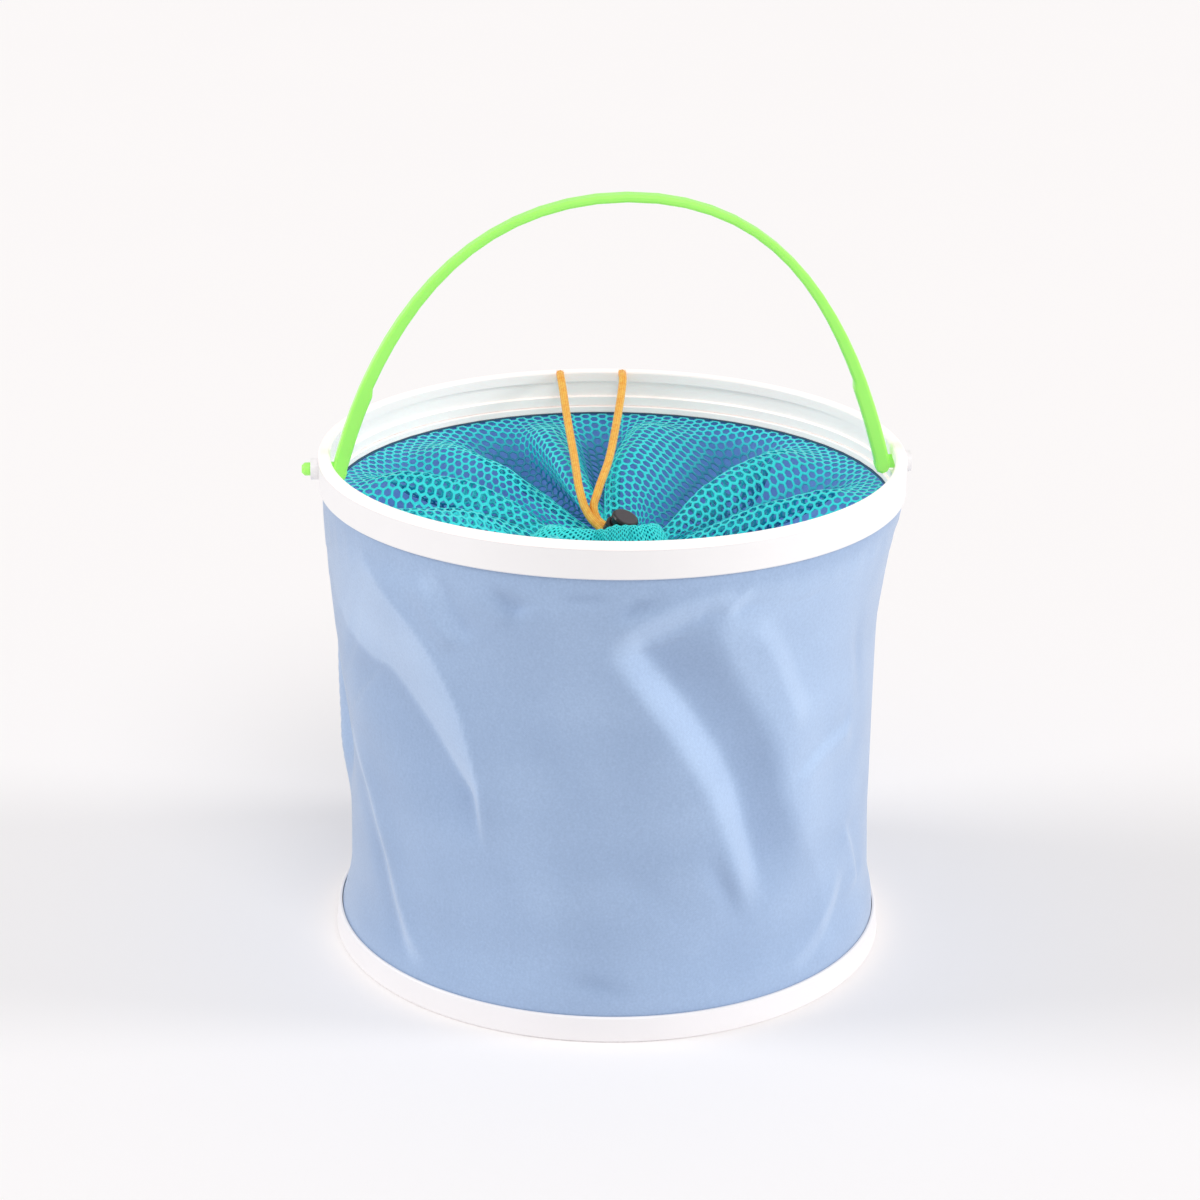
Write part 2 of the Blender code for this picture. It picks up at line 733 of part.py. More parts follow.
# Cord lock
lock_up = Vector((math.tan(lock_tilt_side), -math.tan(lock_tilt_front), 1.0)).normalized()
lock_in = Vector((math.cos(lock_heading), math.sin(lock_heading), 0.0))
lock_in = (lock_in - lock_up * lock_in.dot(lock_up)).normalized()
lock_side = lock_up.cross(lock_in)
lock_frame = Matrix((lock_in, lock_side, lock_up)).transposed().to_4x4()
lock_frame.translation = lock_centre
lock_empty = empty("cord_lock_frame", lock_frame)
button_empty = empty("button_frame", lock_frame)
black = material("lock_black", black_rgb, 0.38)
bore_radius = lock_radius - lock_wall
cord_level = lock_hole_half_height - seat_gap - cord_radius   # cords' centre in the lock

cord_lock_barrel = turned("cord_lock_barrel", [
    (bore_radius, lock_above),
    (lock_radius - lock_round, lock_above),
    (lock_radius, lock_above - lock_round),
    (lock_radius, -lock_below + lock_round),
    (lock_radius - lock_round, -lock_below),
    (0.0, -lock_below),
    (0.0, -lock_below + lock_floor),
    (bore_radius, -lock_below + lock_floor),
], black, 28)
plunger_radius = bore_radius - lock_fit
web_low = cord_level - cord_radius - seat_gap - plunger_web
head_low = lock_above + button_stroke + seat_gap
cord_lock_button = turned("cord_lock_button", [
    (0.0, head_low + button_thick),
    (button_radius - 2 * lock_round, head_low + button_thick),
    (button_radius - 0.5 * lock_round, head_low + button_thick - 0.5 * lock_round),
    (button_radius, head_low + button_thick - 1.5 * lock_round),
    (button_radius, head_low),
    (plunger_radius, head_low),
    (plunger_radius, web_low),
    (0.0, web_low),
], material("button_grey", (0.075, 0.065, 0.07), 0.35), 28)


def lock_block(name, low, high):
    """A cutter for the cord hole, between two heights in the lock."""
    obj = block(name, (2 * (lock_radius + overrun), 2 * lock_hole_half_width, high - low),
                (0.0, 0.0, (high + low) / 2))
    mod = obj.modifiers.new("round", "BEVEL")
    mod.width = lock_hole_half_height * 0.4
    mod.segments = 2
    return obj


barrel_hole = lock_block("barrel_cord_hole", -lock_hole_half_height, lock_hole_half_height)
plunger_hole = lock_block("plunger_cord_hole", web_low + plunger_web,
                          lock_hole_half_height + button_stroke)
boolean(cord_lock_barrel, barrel_hole)
boolean(cord_lock_button, plunger_hole)
cord_lock_barrel = applied(cord_lock_barrel)
cord_lock_button = applied(cord_lock_button)

spring_low = -lock_below + lock_floor + seat_gap + spring_wire
spring_high = web_low - seat_gap - spring_wire
spring_path = []
for i in range(spring_curls * spring_points + 1):
    share = i / (spring_curls * spring_points)
    angle = math.tau * spring_curls * share
    spring_path.append(Vector((spring_radius * math.cos(angle), spring_radius * math.sin(angle),
                               spring_low + (spring_high - spring_low) * share)))
least = min((p - q).length for i, p in enumerate(spring_path)
            for q in spring_path[i + spring_points // 2:]) - 2 * spring_wire
print("least gap between the spring's curls: %.2f mm" % (least / mm))
cord_lock_spring = tube("cord_lock_spring", spring_path, spring_wire,
                        material("spring_steel", (0.6, 0.6, 0.6), 0.3, 1.0), 1)
for piece in (cord_lock_barrel, cord_lock_button, cord_lock_spring):
    piece.matrix_world = lock_frame
hang(cord_lock_barrel, lock_empty)
hang(cord_lock_spring, lock_empty)
hang(cord_lock_button, button_empty)
hang(button_empty, lock_empty)

# Drawcord
orange = material("cord_orange", orange_rgb, 0.6)


def in_lock(along, across):
    """A point in the lock's frame, on the cords' level in it."""
    return lock_frame @ Vector((along, across, cord_level))


cord_half = cord_pitch / 2
lock_reach = lock_radius + seat_gap
# the two strands from the rim to the lock: share of the way, of the slots' spread, of the drift
# to one side and of the drop
strand_shares = (
    (0.09, 0.947, 0.05, 0.10),
    (0.29, 0.813, 0.24, 0.29),
    (0.64, 0.547, 0.60, 0.58),
    (0.90, 0.293, 1.00, 0.77),
)
for side, word in ((-1, "left"), (1, "right")):
    across = -side * cord_half
    route = [
        (side * cord_slot_x, slot_end - seat_gap, slot_z),
        (side * cord_slot_x, slot_open, slot_z),
        (side * cord_slot_x, 2 * slot_open - slot_end, slot_z),
    ]
    high = Vector(route[-1])
    low = in_lock(lock_reach + cord_bend, across) + Vector((-cord_lift, cord_lift, cord_lift))
    for y_share, spread_share, drift_share, drop_share in strand_shares:
        route.append((side * cord_slot_x * spread_share - cord_drift * drift_share,
                      high.y + (low.y - high.y) * y_share,
                      high.z + (low.z - high.z) * drop_share))
    route += [
        low,
        in_lock(lock_reach + cord_bend / 3, across),
        in_lock(lock_reach, across),
    ]
    points, length = smooth_route(route, cord_step)
    print("drawcord %s strand: %.1f mm" % (word, length / mm))
    tube("drawcord_" + word, points, cord_radius, orange)

loop_open = math.radians(30.0)
loop = []
turns = 14
for i in range(turns + 1):
    angle = heading + loop_open + (math.tau - 2 * loop_open) * i / turns
    loop.append(Vector((casing_ring_radius * math.cos(angle),
                        casing_ring_radius * math.sin(angle), gather_height)))
lead_in = [in_lock(lock_reach - seat_gap, cord_half), in_lock(0.0, cord_half),
           in_lock(-lock_radius, cord_half), in_lock(-lock_radius - cord_straight, cord_half)]
lead_out = [in_lock(-lock_radius - cord_straight, -cord_half), in_lock(-lock_radius, -cord_half),
            in_lock(0.0, -cord_half), in_lock(lock_reach - seat_gap, -cord_half)]
if (loop[0] - lead_in[-1]).length > (loop[0] - lead_out[0]).length:
    loop.reverse()
points, length = smooth_route(lead_in + loop + lead_out, cord_step / 2)
print("drawcord in the lock and the casing: %.1f mm" % (length / mm))
tube("drawcord_loop", points, cord_radius, material("loop_orange", orange_rgb, 0.6))

# Bail
pivot = empty("handle_pivot", Matrix.Translation((0.0, 0.0, pin_z)))


def arch(share, inset):
    """A point of the strap's outline, from the left leg's top over the crown to the right.

    The inset is measured square to the strap's middle line, inward.
    """
    def middle(t):
        side = 1 if t > 0.5 else -1
        u = 2 * min(t, 1.0 - t)
        knots = (
            Vector((bail_half, 0.0)),
            Vector((bail_half - (bail_leg_share * bail_half) * math.sin(bail_lean),
                    (bail_leg_share * bail_half) * math.cos(bail_lean))),
            Vector((bail_crown_share * bail_half, bail_height)),
            Vector((0.0, bail_height)),
        )
        v = 1.0 - u
        point = (knots[0] * v ** 3 + knots[1] * 3 * v * v * u + knots[2] * 3 * v * u * u
                 + knots[3] * u ** 3)
        return Vector((side * point.x + bail_sway * (point.y / bail_height) ** 2, point.y))
    delta = 0.002
    low = middle(max(0.0, share - delta))
    high = middle(min(1.0, share + delta))
    run = (high - low).normalized()
    return middle(share) + Vector((run.y, -run.x)) * inset


def leg_share():
    """How far round the arch a leg's thick end reaches."""
    share = 0.0
    while arch(share, 0.0).y < leg_length and share < 0.4:
        share += 0.001
    return share


leg_end = leg_share()
taper_end = leg_end + leg_taper_share
outer_side = []
inner_side = []
shares = [leg_end * i / 4 for i in range(1, 5)]
shares += [taper_end + (1.0 - 2 * taper_end) * i / bail_points for i in range(bail_points + 1)]
shares += [1.0 - leg_end * i / 4 for i in range(4, 0, -1)]
leg_extra = leg_thick - strap_thick
for share in shares:
    in_leg = share <= leg_end + 0.0001 or share >= 1.0 - leg_end - 0.0001
    outer_side.append(arch(share, -strap_half))
    from_leg = min(share, 1.0 - share) - taper_end
    swell = strap_swell * (1.0 - ease(from_leg / swell_share))
    inner_side.append(arch(share, strap_half + (leg_extra if in_leg else swell)))
foot_round_points = 4
outline = []
foot_half = leg_thick / 2
left_mid = -leg_outer + foot_half
right_mid = leg_outer - foot_half
outline.append(Vector((left_mid - foot_half, 0.0)))
outline += outer_side
outline.append(Vector((right_mid + foot_half, 0.0)))
for i in range(foot_round_points + 1):
    angle = -math.pi * i / foot_round_points
    outline.append(Vector((right_mid + foot_half * math.cos(angle),
                           -(foot_below_pin - foot_half) + foot_half * math.sin(angle))))
outline.append(Vector((right_mid - foot_half, 0.0)))
outline += reversed(inner_side)
outline.append(Vector((left_mid + foot_half, 0.0)))
for i in range(foot_round_points + 1):
    angle = -math.pi * i / foot_round_points
    outline.append(Vector((left_mid + foot_half * math.cos(angle),
                           -(foot_below_pin - foot_half) + foot_half * math.sin(angle))))

bail_curve = bpy.data.curves.new("handle_bail", "CURVE")
bail_curve.dimensions = "2D"
bail_curve.fill_mode = "BOTH"
bail_curve.extrude = strap_width / 2 - strap_round
bail_curve.bevel_depth = strap_round
bail_curve.bevel_resolution = 1
bail_curve.offset = -strap_round
spline = bail_curve.splines.new("POLY")
spline.points.add(len(outline) - 1)
spline.use_cyclic_u = True
for point, where in zip(spline.points, outline):
    point.co = (where.x, where.y, 0.0, 1.0)
bail_curve.materials.append(material("bail_green", green_rgb, 0.35))
handle_bail = place(bpy.data.objects.new("handle_bail", bail_curve))
handle_bail.matrix_world = (Matrix.Translation((0.0, 0.0, pin_z))
                            @ Matrix.Rotation(math.radians(90.0), 4, "X"))
handle_bail = applied(handle_bail)


def pin(word, side, tip):
    """Hub, neck and snap head of one pin, as a turned piece lying along X."""
    hub_start = leg_outer - strap_half
    hub_end = recess - seat_gap
    neck_end = rim_radius + head_floor + seat_gap
    dome = head_radius * 0.45
    profile = [
        (0.0, tip),
        (head_radius - dome, tip),
        (head_radius, tip - dome),
        (head_radius, neck_end),
        (neck_radius, neck_end),
        (neck_radius, hub_end),
        (hub_radius, hub_end),
        (hub_radius, hub_start),
        (0.0, hub_start),
    ]
    obj = turned("pin_" + word, profile, None, 20, cutters)
    obj = applied(obj)
    obj.matrix_world = (Matrix.Translation((0.0, 0.0, pin_z))
                        @ Matrix.Rotation(side * math.radians(90.0), 4, "Y"))
    return cutter(obj)


boolean(handle_bail, pin("left", -1, rim_radius + collar_reach + left_head_proud), "UNION")
boolean(handle_bail, pin("right", 1, rim_radius + collar_reach - right_head_sunk), "UNION")
handle_bail = applied(handle_bail)
hang(handle_bail, pivot)
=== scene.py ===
"""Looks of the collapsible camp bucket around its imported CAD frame. Metres, +Z up."""
import math

import bmesh
import bpy
import numpy as np
from mathutils import Matrix, Vector


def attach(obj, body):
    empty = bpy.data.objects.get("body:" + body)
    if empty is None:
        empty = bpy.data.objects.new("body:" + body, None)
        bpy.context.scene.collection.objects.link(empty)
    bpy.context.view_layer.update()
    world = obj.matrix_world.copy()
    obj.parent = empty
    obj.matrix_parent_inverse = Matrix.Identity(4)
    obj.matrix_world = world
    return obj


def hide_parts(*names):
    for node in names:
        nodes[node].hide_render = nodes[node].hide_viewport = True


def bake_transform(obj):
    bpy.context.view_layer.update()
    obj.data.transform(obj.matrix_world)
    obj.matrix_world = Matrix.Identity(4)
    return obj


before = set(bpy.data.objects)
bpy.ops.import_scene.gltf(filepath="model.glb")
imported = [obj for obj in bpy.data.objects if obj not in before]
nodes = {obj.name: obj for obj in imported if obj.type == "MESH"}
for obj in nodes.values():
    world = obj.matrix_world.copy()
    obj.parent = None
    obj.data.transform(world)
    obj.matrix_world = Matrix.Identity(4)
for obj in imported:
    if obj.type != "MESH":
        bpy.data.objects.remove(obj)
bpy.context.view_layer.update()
scene = bpy.context.scene
scene.view_settings.view_transform = "Standard"
mm = 0.001
tau = math.tau

# Camera: fitted to the bucket's outlines in the photograph, tilted down and not shifted. The
# photograph's own picture plane is upright and shifted down, and the same shift in other views
# would push the bucket out of them.
eye, lens = Vector((-0.10956, -1.24987, 0.61862)), 88.857
yaw, pitch, roll = math.radians(4.785), math.radians(20.231), math.radians(0.662)
forward = Vector((math.sin(yaw) * math.cos(pitch), math.cos(yaw) * math.cos(pitch),
                  -math.sin(pitch)))
flat_right = Vector((math.cos(yaw), -math.sin(yaw), 0.0))
flat_up = flat_right.cross(forward)
right = flat_right * math.cos(roll) + flat_up * math.sin(roll)
up = flat_up * math.cos(roll) - flat_right * math.sin(roll)
camera_data = bpy.data.cameras.new("camera")
camera_data.lens = lens
camera_data.sensor_width = 36.0
camera_data.sensor_fit = "AUTO"
camera_data.clip_start = 0.05
camera_data.clip_end = 100.0
camera = bpy.data.objects.new("camera", camera_data)
scene.collection.objects.link(camera)
turn = Matrix((right, up, -forward)).transposed().to_4x4()
turn.translation = eye
camera.matrix_world = turn
scene.camera = camera


def srgb(r, g, b):
    """A colour as seen on a screen, 0 to 255, made linear."""
    out = []
    for value in (r, g, b):
        c = value / 255.0
        out.append(c / 12.92 if c <= 0.04045 else ((c + 0.055) / 1.055) ** 2.4)
    return tuple(out)


def ease(t):
    """0 below 0 and 1 above 1, with a soft start and end between them."""
    return np.clip(t, 0.0, 1.0) ** 2 * (3.0 - 2.0 * np.clip(t, 0.0, 1.0))


# Materials
class Graph:
    """A material's nodes, with short words for what the looks need."""

    def __init__(self, name, roughness=0.5, **sockets):
        self.mat = bpy.data.materials.new(name)
        self.mat.use_nodes = True
        self.tree = self.mat.node_tree
        self.shader = self.tree.nodes["Principled BSDF"]
        self.shader.inputs["Roughness"].default_value = roughness
        for key, value in sockets.items():
            self.shader.inputs[key.replace("_", " ")].default_value = value
        self.where = self.tree.nodes.new("ShaderNodeTexCoord").outputs["Object"]

    def node(self, kind, values=None, **settings):
        made = self.tree.nodes.new("ShaderNode" + kind)
        for key, value in settings.items():
            setattr(made, key, value)
        for key, value in (values or {}).items():
            if isinstance(value, bpy.types.NodeSocket):
                self.tree.links.new(value, made.inputs[key])
            else:
                made.inputs[key].default_value = value
        return made

    def math(self, operation, a, b=0.0):
        return self.node("Math", {0: a, 1: b}, operation=operation).outputs[0]

    def noise(self, scale, detail=2.0, roughness=0.5):
        return self.node("TexNoise", {"Vector": self.where, "Scale": scale,
                                      "Detail": detail, "Roughness": roughness}).outputs["Fac"]

    def ramp(self, value, stops):
        made = self.node("ValToRGB", {"Fac": value})
        ramp = made.color_ramp
        while len(ramp.elements) < len(stops):
            ramp.elements.new(0.5)
        for element, (at, colour) in zip(ramp.elements, stops):
            element.position = at
            element.color = (*colour, 1.0)
        return made.outputs["Color"]

    def split(self, vector):
        return self.node("SeparateXYZ", {0: vector}).outputs

    def tone(self):
        return self.node("Attribute", attribute_name="tone").outputs["Fac"]

    def span(self, value, low, high):
        return self.node("MapRange", {"Value": value, "To Min": low, "To Max": high}).outputs[0]

    def link(self, out, socket):
        self.tree.links.new(out, self.shader.inputs[socket])

    def bump(self, height, distance, strength, before=None):
        values = {"Height": height, "Distance": distance, "Strength": strength}
        if before is not None:
            values["Normal"] = before
        out = self.node("Bump", values).outputs["Normal"]
        self.link(out, "Normal")
        return out

    def uv(self, name):
        return self.node("UVMap", uv_map=name).outputs["UV"]


def plastic(name, colour, roughness, shade=0.96, **sockets):
    """Moulded plastic: faint flow marks, fine orange peel, and a slightly uneven gloss."""
    g = Graph(name, roughness, **sockets)
    flow = g.noise(38.0, 3.0)
    dark = tuple(c * shade for c in colour)
    g.link(g.ramp(flow, [(0.35, dark), (0.65, colour)]), "Base Color")
    g.link(g.span(g.noise(420.0, 2.0), roughness - 0.05, roughness + 0.07), "Roughness")
    g.bump(g.noise(900.0, 2.0), 0.00004, 0.5)
    return g.mat


white = plastic("rim_white_plastic", (0.930, 0.915, 0.920), 0.38, 0.985)
white_base = plastic("base_white_plastic", (0.930, 0.905, 0.914), 0.42, 0.985)
# Painted light: the emission of these two is a painted glow for daylight through the thin lip and
# the clear green bail
white_inner = plastic("rim_inner_white_plastic", (0.950, 0.920, 0.920), 0.40, 0.985,
                      Emission_Color=(1.0, 0.74, 0.64, 1.0), Emission_Strength=0.24)
green = plastic("bail_green_plastic", (0.400, 0.960, 0.150), 0.32, 0.95,
                Subsurface_Weight=0.3, Subsurface_Radius=(0.004, 0.006, 0.002),
                Subsurface_Scale=1.0, Emission_Color=(0.35, 0.90, 0.20, 1.0),
                Emission_Strength=0.13)
black = plastic("lock_black_plastic", srgb(30, 25, 28), 0.36, 0.85)

lock_centre, lock_axis = (0.0015, 0.0006, 0.1844), (0.32872, -0.27612, 0.90316)


def button_material(face_rgb, rim_rgb, face_radius):
    """Black button with a painted highlight: a grey top face inside a black edge, told apart by the
    distance from the lock's axis.
    """
    g = Graph("button_black_plastic_painted_highlight", 0.33)
    off = g.node("VectorMath", {0: g.where, 1: lock_centre}, operation="SUBTRACT").outputs[0]
    across = g.node("VectorMath", {0: off, 1: lock_axis}, operation="CROSS_PRODUCT").outputs[0]
    radius = g.node("VectorMath", {0: across}, operation="LENGTH").outputs["Value"]
    uneven = g.math("MULTIPLY", g.noise(500.0), 0.12)
    place = g.math("ADD", g.math("DIVIDE", radius, 2.0 * face_radius), uneven)
    g.link(g.ramp(place, [(0.52, face_rgb), (0.60, rim_rgb)]), "Base Color")
    g.bump(g.noise(900.0, 2.0), 0.00004, 0.5)
    return g.mat


# Painted highlight: the grey top face stands for light on the black button
button_top_highlight = button_material(srgb(74, 66, 70), srgb(26, 18, 22), 0.0052)


def cloth(name, colour, pitch, grain, sheen):
    """Plain-woven coated cloth, with painted light and shade from its tone attribute, -1 to 1.

    Its UV map is in metres along and across the cloth, and pitch is from thread to thread.
    """
    g = Graph(name, 0.62, Sheen_Weight=sheen, Sheen_Roughness=0.42, Specular_IOR_Level=0.42,
              Sheen_Tint=(0.92, 0.95, 1.0, 1.0))
    along, across = g.split(g.uv("cloth"))[:2]
    warp, weft = (g.math("SINE", g.math("MULTIPLY", way, math.pi / pitch))
                  for way in (along, across))
    woven = g.math("MULTIPLY", warp, weft)
    thread = g.math("MULTIPLY", g.math("ABSOLUTE", warp), g.math("ABSOLUTE", weft))
    height = g.math("ADD", g.math("MULTIPLY", woven, 0.35), thread)
    fine = g.noise(grain, 3.0, 0.6)
    broad = g.noise(26.0, 3.0, 0.55)
    mixed = g.math("ADD", g.math("MULTIPLY", fine, 0.62), g.math("MULTIPLY", broad, 0.20))
    # The tone attribute paints light and shade into the colour: paler on lit crease flanks, darker
    # in shaded valleys and tucks
    place = g.math("ADD", g.math("MULTIPLY", g.tone(), 0.42), g.math("ADD", mixed, 0.09))
    dark = tuple(c * k for c, k in zip(colour, (0.74, 0.76, 0.80)))
    pale = tuple(min(1.0, c * k) for c, k in zip(colour, (1.36, 1.31, 1.24)))
    g.link(g.ramp(place, [(0.0, dark), (0.5, colour), (1.0, pale)]), "Base Color")
    first = g.bump(height, 0.00006, 0.55)
    g.bump(g.noise(grain * 0.6, 2.0), 0.00012, 0.45, first)
    return g


wall_rgb = srgb(160, 184, 218)
wall_mat = cloth("wall_woven_cloth", wall_rgb, 0.00045, 900.0, 0.60).mat
tape_mat = cloth("seam_tape_cloth", tuple(c * 0.96 for c in wall_rgb), 0.0009, 600.0, 0.15).mat
panel_mat = cloth("base_panel_cloth", wall_rgb, 0.0006, 700.0, 0.2).mat

# Painted light: the wall's inside glows as if with daylight through the cloth, with painted shade
# toward the base
inside_cloth = cloth("wall_coated_inside", (0.20, 0.42, 0.86), 0.00045, 500.0, 0.0)
dim, lit = (0.02, 0.06, 0.20, 1.0), (0.20, 0.38, 0.72, 1.0)
height = inside_cloth.split(inside_cloth.where)["Z"]
glow = inside_cloth.node("MapRange", {"Value": height, "From Min": 0.085, "From Max": 0.185},
                         interpolation_type="SMOOTHSTEP")
tint = inside_cloth.node("Mix", {"Factor": glow.outputs[0], "A": dim, "B": lit}, data_type="RGBA")
inside_cloth.link(tint.outputs["Result"], "Emission Color")
inside_cloth.shader.inputs["Emission Strength"].default_value = 0.16


def knit(name, colour, roughness=0.5, valley=None, crest=None):
    """Knitted yarn: fine twisted filament bump and uneven dye.

    With valley and crest, the yarn's colour runs from one to the other by the tone attribute, 0 to
    1: painted shade in the folds' valleys, painted light on their crests.
    """
    g = Graph(name, roughness, Sheen_Weight=0.15, Sheen_Roughness=0.4, Specular_IOR_Level=0.5)
    fine = g.noise(1500.0, 2.0, 0.6)
    broad = g.noise(60.0, 2.0)
    mixed = g.math("ADD", g.math("MULTIPLY", fine, 0.6), g.math("MULTIPLY", broad, 0.4))
    dark, pale = tuple(c * 0.82 for c in colour), tuple(min(1.0, c * 1.12) for c in colour)
    stops = [(0.3, dark), (0.7, pale)]
    if valley:
        mixed = g.math("ADD", g.tone(), g.math("MULTIPLY", g.math("SUBTRACT", mixed, 0.5), 0.25))
        stops = [(0.08, valley), (0.5, colour), (0.92, crest)]
    g.link(g.ramp(mixed, stops), "Base Color")
    g.bump(fine, 0.0001, 0.6)
    return g.mat


# The net's valley colour is painted shade and its crest colour painted light
net_mat = knit("net_knit_turquoise", (0.012, 0.740, 0.810), 0.42, (0.004, 0.25, 0.44),
               (0.02, 0.78, 0.81))
frill_mat = knit("frill_knit_turquoise", srgb(46, 236, 234))
casing_mat = knit("casing_knit_turquoise", srgb(14, 176, 184), 0.6)
binding_mat = knit("binding_teal", srgb(8, 84, 118), 0.62)

cord_strands, cord_lay = 6, 0.0085      # strands each way, and metres in which each goes round


def cord_material(name):
    """Braided orange cord. The UV map runs round and along the cord, in turns and metres."""
    g = Graph(name, 0.5, Sheen_Weight=0.2, Sheen_Roughness=0.35)
    turns, metres = g.split(g.uv("cord"))[:2]
    round_it = g.math("MULTIPLY", turns, cord_strands * tau)
    along = g.math("MULTIPLY", metres, cord_strands * tau / cord_lay)
    one, other = (g.math("SINE", g.math(way, round_it, along)) for way in ("ADD", "SUBTRACT"))
    braid = g.math("MULTIPLY", g.math("MULTIPLY", one, other), 0.3)
    place = g.math("ADD", braid, g.noise(500.0, 2.0))
    g.link(g.ramp(place, [(0.2, srgb(238, 150, 34)), (0.8, srgb(255, 206, 92))]), "Base Color")
    g.bump(g.noise(2200.0, 1.0), 0.00006, 0.5)
    return g.mat


cord_mat = cord_material("cord_orange_braid")

steel = Graph("spring_steel_wire", 0.3, Metallic=1.0)
steel.link(steel.ramp(steel.noise(300.0), [(0.3, (0.42, 0.42, 0.43)), (0.7, (0.62, 0.62, 0.63))]),
           "Base Color")

# The CAD's solids that stay in view
for name, material in (("net_ring", white_inner), ("base_inner_hoop", white_base),
                       ("base_panel", panel_mat), ("handle_bail", green),
                       ("cord_lock_barrel", black), ("cord_lock_button", button_top_highlight),
                       ("cord_lock_spring", steel.mat)):
    nodes[name].data.materials.clear()
    nodes[name].data.materials.append(material)


# Meshes
def grid_faces(rows, columns, rows_close=False, columns_close=True):
    """Quads of a grid of points that are numbered row by row, joined end to end if closed."""
    faces = []
    for i in range(rows if rows_close else rows - 1):
        j = (i + 1) % rows
        for k in range(columns if columns_close else columns - 1):
            m = (k + 1) % columns
            faces.append((i * columns + k, i * columns + m, j * columns + m, j * columns + k))
    return faces


def mesh_piece(name, points, faces, material):
    mesh = bpy.data.meshes.new(name)
    mesh.from_pydata([tuple(p) for p in points], [], faces)
    mesh.update()
    mesh.materials.append(material)
    mesh.shade_smooth()
    obj = bpy.data.objects.new(name, mesh)
    scene.collection.objects.link(obj)
    return obj


def give_uv(obj, name, uvs):
    """UVs for each face corner, from a list that runs with the vertices of each face."""
    layer = obj.data.uv_layers.new(name=name)
    layer.data.foreach_set("uv", np.asarray(uvs, dtype=np.float32).ravel())


def give_tone(obj, tone):
    layer = obj.data.attributes.new("tone", "FLOAT", "POINT")
    layer.data.foreach_set("value", tone.ravel())


def solidify(obj, thickness, offset=0.0, inside=0):
    """The surface made into a thin shell, whose inner side has the material slot inside."""
    shell = obj.modifiers.new("cloth", "SOLIDIFY")
    shell.material_offset = inside
    shell.thickness = thickness
    shell.offset = offset
    shell.use_even_offset = False
    graph = bpy.context.evaluated_depsgraph_get()
    mesh, old = bpy.data.meshes.new_from_object(obj.evaluated_get(graph)), obj.data
    obj.modifiers.clear()
    obj.data = mesh
    bpy.data.meshes.remove(old)
    return obj


facets, facet_cuts = 56, 5      # facets of the CAD's rings, and the parts that each is cut into
hard_edge = math.radians(32.0)


def rounded(name, piece, material, body):
    """A CAD ring's own solid with its facets made round: cut finer, then pushed out to the arc."""
    mesh = nodes[name].data.copy()
    bm = bmesh.new()
    bm.from_mesh(mesh)
    far = max(bm.verts, key=lambda v: math.hypot(v.co.x, v.co.y) if abs(v.co.x) < 0.1 else 0.0)
    facet = tau / facets
    first = math.atan2(far.co.y, far.co.x) % facet
    for k in range(facets // 2 * facet_cuts):
        if k % facet_cuts:
            a = first + facet * k / facet_cuts
            bmesh.ops.bisect_plane(bm, geom=bm.verts[:] + bm.edges[:] + bm.faces[:], dist=1e-7,
                                   plane_co=(0.0, 0.0, 0.0),
                                   plane_no=(-math.sin(a), math.cos(a), 0.0))
    for v in bm.verts:
        off = (math.atan2(v.co.y, v.co.x) - first) % facet - facet / 2.0
        out = math.cos(off) / math.cos(facet / 2.0)
        v.co.x, v.co.y = v.co.x * out, v.co.y * out
    bm.to_mesh(mesh)
    bm.free()
    mesh.name = piece
    mesh.materials.clear()
    mesh.materials.append(material)
    mesh.shade_smooth()
    mesh.set_sharp_from_angle(angle=hard_edge)
    obj = bpy.data.objects.new(piece, mesh)
    scene.collection.objects.link(obj)
    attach(obj, body)
    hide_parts(name)


rounded("rim_outer_hoop", "rim_band", white, "rim")
rounded("rim_inner_hoop", "rim_lip", white_inner, "rim")
rounded("base_outer_hoop", "base_band", white_base, "base")

# Drawcord, on the CAD's route in metres
left_route = [
    (-0.01500, 0.12662, 0.22640), (-0.01494, 0.11944, 0.22589), (-0.01466, 0.11256, 0.22348),
    (-0.01451, 0.10558, 0.22134), (-0.01439, 0.09858, 0.21927), (-0.01425, 0.09154, 0.21731),
    (-0.01409, 0.08448, 0.21544), (-0.01390, 0.07742, 0.21361), (-0.01371, 0.07034, 0.21181),
    (-0.01353, 0.06326, 0.21004), (-0.01335, 0.05617, 0.20828), (-0.01320, 0.04907, 0.20659),
    (-0.01315, 0.04192, 0.20510), (-0.01314, 0.03475, 0.20370), (-0.01303, 0.02762, 0.20213),
    (-0.01250, 0.02076, 0.19975), (-0.01102, 0.01508, 0.19548), (-0.00810, 0.00985, 0.19140),
    (-0.00379, 0.00485, 0.18829),
]
right_route = [
    (0.01500, 0.12662, 0.22640), (0.01484, 0.11946, 0.22588), (0.01396, 0.11263, 0.22342),
    (0.01286, 0.10574, 0.22124), (0.01170, 0.09884, 0.21915), (0.01048, 0.09191, 0.21716),
    (0.00923, 0.08497, 0.21527), (0.00798, 0.07801, 0.21342), (0.00671, 0.07105, 0.21159),
    (0.00540, 0.06408, 0.20979), (0.00403, 0.05713, 0.20802), (0.00252, 0.05018, 0.20632),
    (0.00082, 0.04323, 0.20484), (-0.00101, 0.03629, 0.20344), (-0.00291, 0.02941, 0.20188),
    (-0.00480, 0.02278, 0.19949), (-0.00686, 0.01727, 0.19522), (-0.00565, 0.01187, 0.19096),
    (-0.00109, 0.00706, 0.18798),
]
